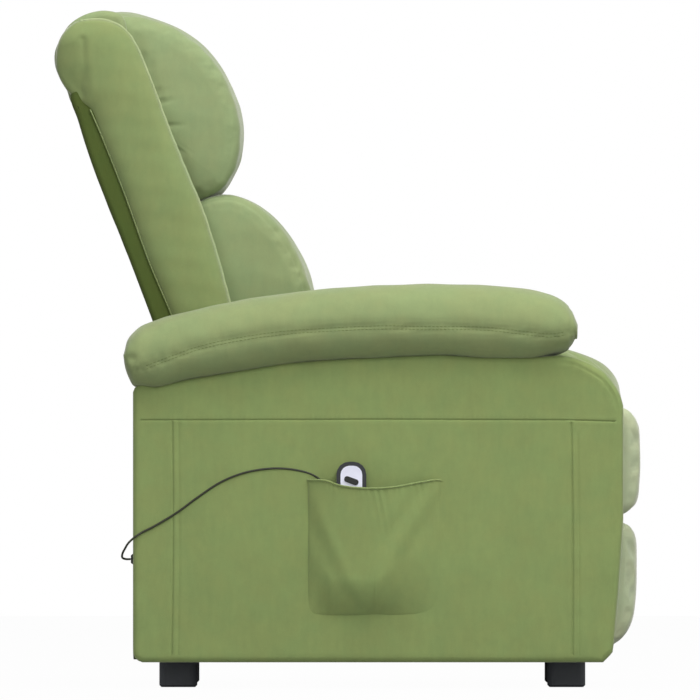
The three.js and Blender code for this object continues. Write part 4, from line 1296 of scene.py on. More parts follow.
@dataclass(frozen=True)
class LongPad:
    """A stuffed piece drawn out along one axis, with a soft rectangular section.

    Attributes:
        name: The piece's name.
        low: Knots (along, height) of its lower edge, in order along it.
        high: Knots of its upper edge.
        near: One side's place across the width.
        far: The other side's.
        corner: The radius that its ends round off with, seen along the heights.
        squareness: 2 for an oval section; more is squarer.
        stations: How many sections make it.
        around: How many points each section has.
    """

    name: str
    low: Points
    high: Points
    near: float
    far: float
    corner: float
    squareness: float
    stations: int
    around: int

    EDGE_POINTS = 400
    CROWDED = 0.55  # how far the sections crowd towards the ends
    FIRST = 0.05  # how far the end sections are from the ends
    THIN = 0.4  # the least height of a section

    def _section(self, low: float, high: float, into: Sequence[float]) -> Array:
        """Makes one closed section.

        Args:
            low: Its lowest height.
            high: Its highest height.
            into: How far it is from each end of the piece.

        Returns:
            Points (across, height).
        """
        half = abs(self.far - self.near) / 2
        middle = (self.near + self.far) / 2
        for distance in into:
            share = min(1.0, distance / self.corner)
            half -= self.corner * 0.75 * (1 - math.sqrt(max(0.0, 1 - (1 - share) ** 2)))
        angles = np.linspace(0, 2 * math.pi, self.around, endpoint=False)
        c, s = np.cos(angles), np.sin(angles)
        power = 2 / self.squareness
        across = middle + half * np.sign(c) * np.abs(c) ** power
        height = (low + high) / 2 + (high - low) / 2 * np.sign(s) * np.abs(s) ** power
        return even(closed_up(np.column_stack([across, height])), self.around, closed=True)

    def build(self, upright: bool) -> Piece:
        """Makes the piece.

        Args:
            upright: True if it is drawn out along Z, and its heights run along Y.

        Returns:
            The closed piece.
        """
        low, high = (spline(knots, self.EDGE_POINTS) for knots in (self.low, self.high))
        start = min(low[0, 0], high[0, 0])
        end = max(low[-1, 0], high[-1, 0])
        straight = np.linspace(0, 1, self.stations)
        eased = (1 - np.cos(np.linspace(0, math.pi, self.stations))) / 2
        shares = self.CROWDED * eased + 0.45 * straight
        where = start + (end - start) * shares
        where[0] += self.FIRST
        where[-1] -= self.FIRST
        rings = []
        for along in where:
            bottom, top = (float(np.interp(along, *edge.T)) for edge in (low, high))
            into = (abs(along - start), abs(along - end))
            across, height = self._section(bottom, max(top, bottom + self.THIN), into).T
            level = np.full(len(across), along)
            order = (across, height, level) if upright else (across, level, height)
            rings.append(np.stack(order, axis=1))
        return make_mesh(self.name, *skin(np.array(rings)))


# ---- Arms -----------------------------------------------------------------------------------


@dataclass(frozen=True)
class Arm(Upholstery):
    """One arm: the covered box below and the stitched pad on it.

    Attributes:
        side: Which side of the sitter it is on.
        box_sides: The box's inner and outer face, from the chair's middle.
        pad_sides: The pad's inner and outer side.
        underside: Knots (Y, Z) of the pad's lower edge.
        top: Knots of the pad's upper edge.
        seam: Knots of the pad's double seam.
        row_gap: How far each row of stitches is from the seam's middle.
        front_edge: The box's outline up its front.
        strip: Knots of the seam behind the box's front edge.
    """

    side: Side
    box_sides: tuple[float, float] = (262.0, 373.0)
    pad_sides: tuple[float, float] = (255.0, 405.0)
    underside: Points = (
        (-336, 515), (-326, 499), (-293, 488), (-267, 483), (-201, 483), (-135, 487),
        (-63, 484), (36, 479), (101, 473), (167, 462), (233, 451), (282, 440), (302, 442),
        (315, 445), (323, 459), (328, 476), (330, 490),
    )  # fmt: skip
    top: Points = (
        (-339, 537), (-329, 560), (-310, 576), (-284, 585), (-234, 592), (-137, 596),
        (-113, 596), (-30, 593), (52, 587), (134, 576), (177, 568), (233, 556), (265, 549),
        (287, 541), (308, 531), (323, 515), (330, 491),
    )  # fmt: skip
    seam: Points = (
        (-332, 525), (-300, 520), (-267, 523), (-201, 530), (-103, 531), (-63, 532),
        (36, 528), (101, 523), (167, 513), (220, 501), (310, 468),
    )  # fmt: skip
    row_gap: float = 2.3
    front_edge: Points = (
        (-391, 52), (-393, 66), (-400, 145), (-407, 250), (-407, 416), (-403, 431),
        (-396, 445), (-379, 466), (-357, 479), (-333, 488), (-312, 491),
    )  # fmt: skip
    strip: Points = (
        (-383, 40), (-391, 140), (-398.5, 250), (-398.5, 412), (-388, 440), (-372, 457),
        (-350, 470), (-326, 480), (-300, 483),
    )  # fmt: skip

    def _place(self, flat: Array, height: Array) -> Array:
        """Points of the arm's side, at a distance from the chair's middle."""
        return np.column_stack([self.side.value * height, flat])

    def _box_outline(self) -> Array:
        """The box's outline, from its rear foot forward and over its top.

        Returns:
            Its corners (Y, Z).
        """
        below_pad = [(y, z + 5) for y, z in self.underside[3:-5]]
        foot, rear = [(302, 38), (-377, 38)], [(306, 450), (316, 440), (316, 52), (312, 42)]
        return np.array([*foot, *self.front_edge, *below_pad, *rear], float)

    def _box_seams(self) -> tuple[Seam, ...]:
        """The box's seams: the yoke, each edge strip with its second row, the front's edge.

        Returns:
            The seams.
        """
        yoke = np.array([(316, 395), (-60, 396), (-330, 395), (-401, 393)], float)
        rear = spline([(258, 393), (257, 220), (259, 40)], 60)
        front = spline([(-330, 391), (-332, 220), (-332, 40)], 60)
        second = np.array((9, 0))
        return (
            Seam(yoke, 1.5, 1.0, 0.4),
            Seam(rear, 1.4, 1.1, 0.7),
            Seam(rear - second, 0.6, 1.6, 0.5),
            Seam(front, 1.7, 1.2, 1.0),
            Seam((front - second)[3:], 0.7, 1.6, 0.6),
            Seam(spline(self.strip, 120), 1.5, 1.3, 0.8),
        )

    def _padding(self, flat: Array) -> Array:
        """How far the box's outer face swells over its padding.

        Args:
            flat: Plane points of the face.

        Returns:
            The rise at each point.
        """
        y, z = flat.T
        belly = unit(1 - ((y + 35) / 300) ** 2) * unit(1 - ((z - 215) / 190) ** 2)
        solid = np.column_stack([flat, np.zeros(len(flat))])
        return 3.2 * belly + 0.55 * drift(solid, 230, 1.3 + self.side.value)

    def box(self) -> None:
        """Makes the covered box with its seams."""
        label = self.side.label
        piece = PaddedBoard(
            f"arm_box_{label}", self._box_outline(), *self.box_sides, edge=9.0, spacing=7.0,
            place=self._place, swell=self._padding, seams=self._box_seams(),
        ).build()  # fmt: skip
        nodes = (f"side_panel_{label}", f"arm_frame_{label}")
        self.dress(piece, Body.CHAIR, *nodes, fill=0.4)

    def _pad_relief(self, points: Array, normals: Array) -> Array:
        """The pad's double seam, tucks, nose seam and softness.

        Args:
            points: The vertices.
            normals: Their normals.

        Returns:
            How far each vertex moves.
        """
        x, y, z = points.T
        seam = spline(self.seam, 160)
        inner = self.pad_sides[0]
        flank = unit(np.abs(normals[:, 0]) * 2.2 - 0.5)
        away, along = distance_to_line(points[:, 1:], seam)
        signed = np.where(z < np.interp(y, seam[:, 0], seam[:, 1]), -away, away)
        rows = bell(signed - self.row_gap, 1.2) + bell(signed + self.row_gap, 1.2)
        swell = 1.3 * bell(signed - 15, 10) + 0.6 * bell(signed + 14, 9)
        tucks = 0.5 * ripple(along, 15, 0.7) * bell(signed, 14)
        nose = bell(y + 329, 1.7) * unit(1.4 - np.abs(normals[:, 1]))
        heel = bell(y - 318, 9) * bell(z - 486, 7)
        dip = bell(y - 160, 70) * unit(1 - (np.abs(x) - inner) / 30)
        gathers = ripple(y, 17, 2.1) * bell(np.abs(x) - inner - 7, 12) * unit(normals[:, 2])
        soft = 1.1 * drift(points, 130, 0.4 + self.side.value) + 0.6 * gathers
        return flank * (swell + tucks - 1.7 * rows) + soft - 1.6 * nose - 4.0 * heel - 2.6 * dip

    def pad(self) -> Piece:
        """Makes the arm pad, with its double seam and tucks.

        Returns:
            The pad.
        """
        sign, label = self.side.value, self.side.label
        near, far = (sign * place for place in self.pad_sides)
        piece = LongPad(
            f"arm_cover_{label}", self.underside, self.top, near, far,
            corner=26.0, squareness=2.5, stations=190, around=120,
        ).build(upright=False)  # fmt: skip
        push(piece, self._pad_relief)
        return self.dress(piece, Body.CHAIR, f"arm_pad_{label}", finish="arm_velvet", fill=0.7)

    def stitching(self, pad: Piece) -> None:
        """Makes the two rows of stitches along the pad's seam.

        Args:
            pad: The pad that they are sewn through.
        """
        lines = []
        sign, outside, proud = self.side.value, 480.0, 0.0001
        for offset in (-self.row_gap, self.row_gap):
            row = []
            for y, z in spline(self.seam, 150)[3:-3]:
                start = Vector((sign * outside, y, z + offset)) * MM
                hit, where, normal, _ = pad.ray_cast(start, Vector((-sign, 0, 0)))
                if hit:
                    row.append([c / MM for c in where + normal * proud])
            lines.append(np.array(row))
        piece = Stitches().sew(f"arm_stitches_{self.side.label}", lines)
        # The thread's dark colour is painted shade in the seam's groove.
        self.dress(piece, Body.CHAIR, finish="thread")


# ---- Seat and footrest ----------------------------------------------------------------------


@dataclass(frozen=True)
class Seat(Upholstery):
    """The seat cushion and the two pads of the folded footrest.

    Attributes:
        seat: Knots (Y, Z) of the seat cushion's outline.
        welt: The Y of the welt across its front.
        upper: Knots of the upper footrest pad's outline.
        lower: Knots of the lower one's.
    """

    seat: Points = (
        (-322, 341), (50, 341), (50, 380), (50, 446), (34, 472), (-60, 489), (-220, 499),
        (-300, 499), (-325, 497), (-346, 491), (-370, 482), (-387, 472), (-403, 453),
        (-409, 432), (-409, 419), (-396, 415), (-357, 415), (-347, 408), (-345, 352),
    )  # fmt: skip
    welt: float = -318.0
    upper: Points = (
        (-362.5, 264), (-362.5, 330), (-362.5, 398), (-378, 411), (-392, 417), (-408, 418),
        (-421, 410), (-430, 389), (-432, 364), (-433, 337), (-432, 307), (-429, 280),
        (-422, 262), (-405, 250), (-378, 249),
    )  # fmt: skip
    lower: Points = (
        (-362.5, 60), (-362.5, 150), (-362.5, 237), (-378, 246), (-404, 247), (-418, 243),
        (-425, 225), (-427, 199), (-427, 157), (-425, 118), (-419, 92), (-408, 71),
        (-399, 62), (-388, 54), (-372, 54),
    )  # fmt: skip

    def _seat_relief(self, points: Array, normals: Array) -> Array:
        """The seat's welt, the gathers beside it and along its rear, and its softness.

        Args:
            points: The vertices.
            normals: Their normals.

        Returns:
            How far each vertex moves.
        """
        x, y, _ = points.T
        upwards = unit(normals[:, 2])
        front = ripple(x, 34, 1.2) * bell(y - self.welt, 26)
        rear = ripple(x, 40, 0.5) * bell(y - 30, 30)
        welt = bell(y - self.welt, 3.0) * unit(normals[:, 2] * 2)
        return 1.4 * drift(points, 260, 2.2) + 0.8 * (front + rear) * upwards - 2.2 * welt

    def cushion(self) -> None:
        """Makes the seat cushion, with a welted front edge."""
        piece = Bolster(
            "seat_cover", self.seat, half_width=253.0, end=22.0, columns=60, around=110,
            fall=5.0, stuffing=Stuffing(slack=0.015, most=5.0),
        ).build()  # fmt: skip
        push(piece, self._seat_relief)
        self.dress(piece, Body.CHAIR, "seat_cushion", fill=0.8)

    @staticmethod
    def _pad_relief(points: Array, normals: Array, seed: float) -> Array:
        """Folds along a footrest pad's edges, and its softness.

        Args:
            points: The vertices.
            normals: Their normals.
            seed: Sets one pad apart from the other.

        Returns:
            How far each vertex moves.
        """
        x, _, z = points.T
        edges = unit(np.abs(z - z.mean()) / np.ptp(z) * 3 - 1)
        folds = ripple(x, 30, seed) * edges * unit(0.4 - normals[:, 1])
        return drift(points, 200, seed) + 0.9 * folds

    def footrest(self) -> None:
        """Makes the footrest's upper and lower pads."""
        for name, outline, seed in (("upper", self.upper, 0.6), ("lower", self.lower, 2.9)):
            piece = Bolster(
                f"footrest_cover_{name}", outline, half_width=252.0, end=18.0, columns=60,
                around=84, fall=2.5, dome=1.5, stuffing=Stuffing(slack=0.02, most=4.0),
            ).build()  # fmt: skip
            push(piece, partial(self._pad_relief, seed=seed))
            node = f"footrest_pad_{name}"
            # Painted lighter velvet: painted light on the pads' ends.
            self.dress(piece, Body.FOOTREST, node, finish="footrest_velvet", fill=0.75)


# ---- Back -----------------------------------------------------------------------------------


@dataclass(frozen=True)
class Back(Upholstery):
    """The reclining back: wings, headrest, lumbar cushion and the cover behind them.

    Attributes:
        wing_front: Knots (Z, Y) of a wing's front edge, in the upright back's frame.
        wing_rear: Knots (Z, Y) of its rear edge.
        wing_sides: A wing's inner and outer side, from the chair's middle.
        crease: Knots (Y, Z) of the fold where a wing turns into the roll.
        piped: How far from the chair's middle the piping lies.
        headrest_outline: Knots (Y, Z) of the headrest.
        tucks: Heights of the headrest's tucks where it is sewn to the wings.
        lumbar_outline: Knots of the lumbar cushion.
        cover_outline: Knots of the cover behind the back.
        cover_rows: Heights of the stitching across that cover.
        roll_outline: Knots of the roll over the back's top.
    """

    wing_front: Points = (
        (118, -100), (208, -104), (302, -111), (351, -113), (410, -109), (500, -107),
        (559, -106), (614, -103), (636, -97), (650, -88), (662, -74), (669, -58), (674, -34),
    )  # fmt: skip
    wing_rear: Points = (
        (118, -14), (220, -13), (300, -9), (420, -9), (512, -6), (545, -4), (562, 7),
        (590, 18), (613, 21), (641, 13), (656, 3), (666, -8), (671, -18), (674, -30),
    )  # fmt: skip
    wing_sides: tuple[float, float] = (196.5, 252.0)
    crease: Points = ((-5, 530), (-4.5, 553), (-10, 577), (-18, 602), (-25, 624), (-31, 646))
    piped: float = 240.0
    headrest_outline: Points = (
        (-46, 370), (-46, 520), (-46, 655), (-48, 672), (-57, 678), (-85, 671), (-111, 659),
        (-133, 644), (-155, 626), (-172, 608), (-193, 577), (-206, 541), (-212, 504),
        (-211, 466), (-200, 425), (-187, 397), (-173, 380), (-156, 366), (-120, 362),
        (-80, 362),
    )  # fmt: skip
    tucks: tuple[float, ...] = (592, 578, 536, 521, 485, 446)
    lumbar_outline: Points = (
        (-46, 102), (-46, 220), (-46, 344), (-60, 354), (-88, 358), (-116, 366),
        (-129, 366), (-158, 358), (-181, 341), (-197, 318), (-213, 280), (-221, 247),
        (-224, 216), (-222, 182), (-218, 140), (-208, 106), (-190, 90), (-150, 85),
        (-80, 85),
    )  # fmt: skip
    cover_outline: Points = (
        (-22, 34), (-12, 28), (8, 28), (13.5, 34), (14, 219), (15, 303), (16, 347),
        (19, 454), (18, 504), (16, 540), (15, 572), (4, 584), (-16, 580), (-22, 560),
        (-22, 400), (-22, 200),
    )  # fmt: skip
    cover_rows: tuple[float, ...] = (250.0, 360.0)
    roll_outline: Points = (
        (-40, 560), (-10, 556), (8, 557), (16, 564), (17, 587), (21, 613), (20, 626),
        (13, 645), (-4, 663), (-18, 673), (-37, 679), (-57, 680), (-79, 675), (-98, 661),
        (-98, 640), (-80, 600),
    )  # fmt: skip

    def _wing_relief(self, points: Array, normals: Array, sign: int) -> Array:
        """A wing's step and fold into the roll, its pillowed edge and its gathers.

        Args:
            points: The vertices.
            normals: Their normals.
            sign: The sign of X on the wing's side.

        Returns:
            How far each vertex moves.
        """
        _, y, z = points.T
        rim = spline([knot[::-1] for knot in (*self.wing_front, *self.wing_rear[-2:3:-1])], 300)
        crease = spline(self.crease, 120)
        to_rim, _ = distance_to_line(points[:, 1:], rim)
        to_crease, _ = distance_to_line(points[:, 1:], crease)
        behind = y - np.interp(z, crease[:, 1], crease[:, 0])
        step = -5.0 * unit(behind / 8) * unit((z - 552) / 20) * unit((648 - z) / 60)
        under = -2.4 * unit(behind / 16) * unit((606 - z) / 50) * unit((z - 535) / 20)
        fold = -3.0 * bell(to_crease, 5.5) * unit((z - 556) / 30)
        pillow = -5.0 * unit(1 - to_rim / 52) ** 1.6 * np.clip((z - 420) / 200, 0.25, 1)
        outwards = normals[:, 0] * sign
        facing = unit(-outwards) + 0.3 * unit(-normals[:, 1])
        soft = 0.9 * drift(points, 120, 0.9 * sign) + 0.8 * ripple(z, 16, 1.4) * facing
        return unit(outwards) ** 2 * (step + under + fold + pillow) + soft

    def wing(self, side: Side) -> None:
        """Makes the wing at one side of the back, with its piping.

        Args:
            side: The sitter's side.
        """
        near, far = (side.value * place for place in self.wing_sides)
        piece = LongPad(
            f"wing_cover_{side.label}", self.wing_front, self.wing_rear, near, far,
            corner=28.0, squareness=2.8, stations=170, around=96,
        ).build(upright=True)  # fmt: skip
        push(piece, partial(self._wing_relief, sign=side.value))
        self._pipe(piece, side)
        node = f"back_wing_{side.label}"
        self.dress(piece, Body.BACK, node, finish="wing_velvet", fill=0.7)

    def _pipe(self, wing: Piece, side: Side) -> None:
        """Lays piping round the front edge of a wing and down its rear edge.

        Args:
            wing: The wing, not yet leaning back.
            side: The sitter's side.
        """
        surface = BVHTree.FromPolygons(
            [tuple(p) for p in read_points(wing)], [tuple(f.vertices) for f in wing.data.polygons]
        )
        across, outside, proud, rear_inset = side.value * self.piped, 30, 0.4, 2.4
        front = spline([knot[::-1] for knot in self.wing_front], 260)
        laid = []
        for y, z in front + outside * beside(unit_rows(np.gradient(front, axis=0))):
            where, normal, _, _ = surface.find_nearest(Vector((across, y, z)))
            laid.append(where + normal * proud)
        rear = spline([(y - rear_inset, z) for z, y in self.wing_rear[:6]], 160)
        edge = np.column_stack([np.full(len(rear), across), rear])
        for name, route, radius, finish in (
            # The front piping's lighter finish is a painted highlight along the wing's rim; the
            # rear piping keeps the wing's velvet.
            ("front", np.array(laid), 1.25, "piping"),
            ("rear", edge, 1.1, "wing_velvet"),
        ):
            piece = tube(f"wing_piping_{name}_{side.label}", route, radius)
            self.dress(piece, Body.BACK, finish=finish)

    @staticmethod
    def _cushion_relief(
        points: Array, normals: Array, seed: float, tucks: Sequence[float] = ()
    ) -> Array:
        """Gives a back cushion its unevenness, and the short tucks where it is sewn.

        Args:
            points: Its vertices.
            normals: Their normals.
            seed: Sets one cushion apart from another.
            tucks: The tucks' heights.

        Returns:
            How far each vertex moves.
        """
        x, y, z = points.T
        ahead = np.clip(-(y + 105), 0, None)
        ends = unit(np.abs(normals[:, 0]) * 1.6 - 0.3)
        pulled = sum(bell(z - level + 0.25 * ahead, 2.8) for level in tucks)
        sewn = bell(ahead, 15) * pulled * 3.0 + bell(ahead, 9) * 1.5
        near_ends = np.exp(-np.clip(190 - np.abs(x), 0, None) / 30)
        face_tucks = ripple(z, 34, seed) * near_ends * (1 - ends)
        long_folds = ripple(x, 64, seed) * unit(normals[:, 2] - 0.3)
        soft = 1.5 * drift(points, 260, seed) + 0.4 * drift(points, 110, 2 * seed)
        return 0.9 * face_tucks + 0.7 * long_folds + soft - ends * sewn

    def _lumbar_relief(self, points: Array, normals: Array) -> Array:
        """The lumbar cushion's unevenness and the welt round its ends.

        Args:
            points: The vertices.
            normals: Their normals.

        Returns:
            How far each vertex moves.
        """
        outline = closed_up(spline(self.lumbar_outline, 240, closed=True))
        to_edge, _ = distance_to_line(points[:, 1:], outline)
        welt = unit(np.abs(normals[:, 0]) * 2 - 0.4) * bell(to_edge - 9, 2.2)
        return self._cushion_relief(points, normals, 2.6) - 1.5 * welt

    def cushions(self) -> None:
        """Makes the headrest, gathered where it meets the wings, and the lumbar cushion."""
        headrest_relief = partial(self._cushion_relief, seed=0.8, tucks=self.tucks)
        for name, outline, set_back, around, relief in (
            ("headrest", self.headrest_outline, 45.0, 160, headrest_relief),
            ("lumbar", self.lumbar_outline, 60.0, 150, self._lumbar_relief),
        ):
            piece = Bolster(
                f"{name}_cover", outline, half_width=195.7, end=24.0, columns=58, around=around,
                fall=4.0, dome=9.0, set_back=set_back, stuffing=Stuffing(slack=0.03, most=6.0),
            ).build()  # fmt: skip
            push(piece, relief)
            node = f"{name}_cushion"
            # Painted lighter velvet: a painted highlight on the cushions' rounded faces.
            self.dress(piece, Body.BACK, node, finish="cushion_velvet", fill=0.85)

    def _cover_relief(self, points: Array, normals: Array) -> Array:
        """The rear cover's rows of stitching and its softness.

        Args:
            points: The vertices.
            normals: Their normals.

        Returns:
            How far each vertex moves.
        """
        x, _, z = points.T
        behind = unit(normals[:, 1] * 2 - 0.6) * unit((228 - np.abs(x)) / 6)
        rows = sum(bell(z - level, 2.6) for level in self.cover_rows)
        upright = bell(np.abs(x) - 206, 2.4)
        return behind * (0.8 * drift(points, 190, 3.0) - 2.2 * rows - 1.6 * upright)

    def cover(self) -> None:
        """Makes the cover behind the back, with its seams."""
        piece = Bolster(
            "back_cover", self.cover_outline, half_width=238.0, end=8.0, columns=170, around=250
        ).build()
        push(piece, self._cover_relief)
        node = "back_outer_panel"
        # The lining's dark colour is painted shade on the cover's sides behind the wings.
        self.dress(piece, Body.BACK, node, finish="lining", slot="lining", fill=0.4)

    @staticmethod
    def _roll_relief(points: Array, normals: Array) -> Array:
        """The roll's middle seam, its puckers and its softness.

        Args:
            points: The vertices.
            normals: Their normals.

        Returns:
            How far each vertex moves.
        """
        x, _, z = points.T
        behind = unit(normals[:, 1] + 0.2)
        puckers = ripple(x, 21, 0.3) * np.exp(-np.clip(z - 560, 0, None) / 18)
        seam = -2.0 * bell(x, 2.6)
        return behind * (0.4 * puckers + seam) + 0.9 * drift(points, 150, 1.1)

    def roll(self) -> None:
        """Makes the roll over the top of the back, between the wings."""
        piece = Bolster(
            "top_roll_cover", self.roll_outline, half_width=200.0, end=10.0, columns=90, around=110
        ).build()
        push(piece, self._roll_relief)
        node = "back_outer_panel"
        # Painted lighter velvet: a painted highlight on the roll.
        self.dress(piece, Body.BACK, node, finish="cushion_velvet", fill=0.6)


@dataclass(frozen=True)
class RearSkirt(Upholstery):
    """The panel between the arms behind the seat, with the mains inlet's opening.

    Attributes:
        half_width: Half of the panel's width.
        low: Its lowest height.
        high: Its highest height.
        corner: How far its corners are cut.
        inlet: The opening's middle (X, Z).
        opening: Half of the opening's width and height.
    """

    half_width: float = 261.0
    low: float = 38.5
    high: float = 344.5
    corner: float = 5.0
    inlet: tuple[float, float] = (-95.0, 208.0)
    opening: tuple[float, float] = (18.5, 14.5)

    def _outline(self) -> Array:
        """The panel's outline with its corners cut, as points (X, Z).

        Returns:
            The corners.
        """
        half, low, high, cut = self.half_width, self.low, self.high, self.corner
        left = [(half, low + cut), (half - cut, low), (half - cut, high), (half, high - cut)]
        return np.array([*left, *[(-x, z) for x, z in reversed(left)]])

    @staticmethod
    def _place(flat: Array, height: Array) -> Array:
        """Points of the panel's plane, at a depth in the chair."""
        return np.column_stack([flat[:, 0], height, flat[:, 1]])

    @staticmethod
    def _padding(flat: Array) -> Array:
        """How far the panel swells over its padding."""
        return 0.6 * drift(np.column_stack([flat, np.zeros(len(flat))]), 160, 0.2)

    def build(self) -> None:
        """Makes the panel."""
        turns = np.linspace(0, 2 * math.pi, 40, endpoint=False)
        turned = np.column_stack([np.cos(turns), np.sin(turns)])
        hole = self.inlet + np.array(self.opening) * np.sign(turned) * np.abs(turned) ** 0.3
        hem = Seam(np.array([(-258.0, 56.0), (258.0, 56.0)]), 1.4, 1.6, 0.5)
        piece = PaddedBoard(
            "rear_skirt", self._outline(), inner=302.0, outer=316.0, edge=4.0, spacing=9.0,
            place=self._place, swell=self._padding, seams=(hem,), holes=(hole,),
        ).build()  # fmt: skip
        node = "rear_valance"
        # The lining's dark colour is painted shade, carried onto this rear panel too.
        self.dress(piece, Body.CHAIR, node, finish="lining", slot="lining", fill=0.3)


# ---- Pocket and cord ------------------------------------------------------------------------


@dataclass(frozen=True)
class Pocket(Upholstery):
    """The gathered cloth pocket on the sitter's right, which holds the handset.

    Attributes:
        face: How far from the chair's middle the arm's side is.
        middle: The pocket's middle along Y.
        half: Half of its width.
        bottom: The height of its foot.
        tall: Its height, near enough.
        deep: How far it stands off the arm at most.
        margin: The width of its sewn edge.
        corner: The radius of its lower corners.
        hem: Knots (Y, Z) of its open edge.
        cloth: The cloth's thickness.
    """

    face: float = 373.6
    middle: float = -40.0
    half: float = 102.0
    bottom: float = 104.0
    tall: float = 200.0
    deep: float = 27.6
    margin: float = 2.6
    corner: float = 9.0
    hem: Points = (
        (-142, 304), (-135, 307), (-110, 304), (-64, 296), (-22, 295), (11, 299), (32, 306),
        (61, 307),
    )  # fmt: skip
    cloth: float = 1.3

    def _stand_off(self, s: Array, t: Array) -> Array:
        """Gives how far the cloth stands off the arm.

        Args:
            s: Shares across the pocket, from -1 at its front to 1 at its rear.
            t: Shares up the pocket, from 0 to 1.

        Returns:
            The distance at each pair of shares.
        """
        rear, wide = s > 0, np.abs(s)
        across = 1 - wide ** np.where(rear, 3.6, 1.7)
        sewn = unit(np.minimum((1 - wide) * self.half, t * self.tall) / self.margin - 1)
        reach = 0.3 + 0.35 * unit(-s) + 0.6 * unit(s - 0.62)
        base = self.deep * across * (1 - unit(1 - t / reach) ** 1.75) * sewn
        line = wide - t ** np.where(rear, 0.85, 1.7)
        middle = np.sin(math.pi * unit(t) ** 1.3) ** 0.6
        ridge = 1.8 * bell(line, np.where(rear, 0.12, 0.14)) - 1.2 * bell(line - 0.2, 0.14)
        sag = -1.6 * bell(line + 0.26, 0.13) * unit((0.1 - s) * 3)
        pit = -2.2 * bell(s, 0.16) * bell(t - 0.04, 0.05) * unit(t / 0.02)
        lean = s * self.half + (1 - t) * 36
        gathered = np.exp(-((1 - t) / 0.16)) * np.exp(-(((s + 0.36) / 0.42) ** 4))
        gathers = 1.2 * ripple(lean, 13.0, 0.4) * gathered
        puckers = 0.5 * ripple(s * self.half, 8.0, 1.9) * bell(1 - t, 0.05)
        edge = unit((1 - wide) / 0.06) * unit(t / 0.05)
        return base + pit + ((ridge + sag) * middle + gathers + puckers) * edge

    def _points(self, s: Array, t: Array, proud: float = 0.0) -> Array:
        """Makes points of the cloth.

        Args:
            s: Shares across the pocket.
            t: Shares up the pocket.
            proud: How far in front of the cloth to put them.

        Returns:
            The points in the chair's frame.
        """
        y = self.middle + s * self.half
        top = np.interp(y, *spline(self.hem, 120).T)
        turn = unit((np.abs(s) - 1) * self.half / self.corner + 1)
        low = self.bottom + self.corner * (1 - np.sqrt(1 - turn**2))
        x = -(self.face + proud + self._stand_off(s, t))
        return np.column_stack([x, y, low + (top - low) * t])

    def build(self) -> None:
        """Makes the pocket's cloth, folded and gathered under its hem."""
        columns, rows = 132, 108
        shares = np.meshgrid(np.linspace(-1, 1, columns), np.linspace(0, 1, rows))
        points = self._points(*(grid.ravel() for grid in shares))
        faces = [
            [start, start + 1, start + columns + 1, start + columns]
            for row in range(0, (rows - 1) * columns, columns)
            for start in range(row, row + columns - 1)
        ]
        piece = make_mesh("side_pocket_cloth", points, faces)
        if read_normals(piece)[len(points) // 2, 0] > 0:
            piece.data.flip_normals()
        thick = piece.modifiers.new("cloth thickness", "SOLIDIFY")
        thick.thickness = self.cloth * MM
        thick.offset = -1.0
        settle(piece)
        self.dress(piece, Body.CHAIR, "side_pocket")
        hem = self.dress(self._binding(), Body.CHAIR)

    def _binding(self) -> Piece:
        """The narrow elastic binding that draws in the pocket's hem."""
        s = np.linspace(-0.995, 0.995, 150)
        return tube("pocket_binding", self._points(s, np.ones(len(s)), proud=0.4), 1.5, 10)


@dataclass(frozen=True)
class HandsetCord:
    """The handset's cord, from the chair's rear edge along the side into the pocket.

    Attributes:
        finishes: The chair's materials.
        diameter: The cord's thickness.
        exit: Where it comes out of the chair.
        face: The X of its middle where it lies on the arm's side.
        handset: The X of its middle at the handset.
        along: Points (Y, Z) that it passes on the arm's side.
    """

    finishes: Finishes
    diameter: float = 3.2
    exit: tuple[float, float, float] = (-338.0, 319.6, 190.0)
    face: float = -374.9
    handset: float = -385.0
    along: Points = (
        (302, 230), (286, 238), (251, 259), (221, 281), (186, 304), (150, 318), (110, 324),
        (78, 322), (52, 315),
    )  # fmt: skip

    def route(self) -> Array:
        """The cord's centre line.

        Returns:
            Its points, from the chair to the handset.
        """
        x, y, z = self.exit
        face, handset = self.face, self.handset
        bend = [
            (x, y, z), (x, y + 7, z), (x - 5, y + 12, z + 2), (x - 15, y + 12, z + 8),
            (x - 27, y + 8, z + 16), (face + 1, y + 3, z + 24), (face - 2, y - 5.6, z + 32),
        ]  # fmt: skip
        drop = [
            (face - 1, 36, 303), (face - 2, 28, 284), (face - 4, 25, 250), (face - 6, 25, 210),
            (face - 8, 23, 168), (handset, 18, 146), (handset, 8, 136), (handset, -2, 140),
            (handset, -6, 148), (handset, -6, 156.7),
        ]  # fmt: skip
        line = spline([*bend, *[(face, a, b) for a, b in self.along], *drop], 420)
        line[0] = self.exit
        return line

    def build(self) -> None:
        """Makes the cord along its route."""
        line = self.route()
        piece = tube("handset_lead", line, self.diameter / 2, 12)
        piece.data.materials.append(self.finishes["cord_jacket"])
        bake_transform(piece)
        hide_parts("handset_cord")


# ---- Camera, floor and light ----------------------------------------------------------------


@dataclass(frozen=True)
class Lamp:
    """A soft square lamp.

    Attributes:
        name: Its name.
        place: Where it hangs, in metres.
        size: Its width.
        power: Its power in watts.
        aim: The height on the chair's middle line that it faces.
    """

    name: str
    place: tuple[float, float, float]
    size: float
    power: float
    aim: float = 0.5

    def hang(self) -> None:
        """Makes the lamp."""
        data = bpy.data.lights.new(self.name, "AREA")
        data.shape = "SQUARE"
        data.size = self.size
        data.energy = self.power
        lamp = bpy.data.objects.new(self.name, data)
        lamp.location = self.place
        towards = Vector((0, 0, self.aim)) - Vector(self.place)
        lamp.rotation_euler = towards.to_track_quat("-Z", "Y").to_euler()
        bpy.context.scene.collection.objects.link(lamp)


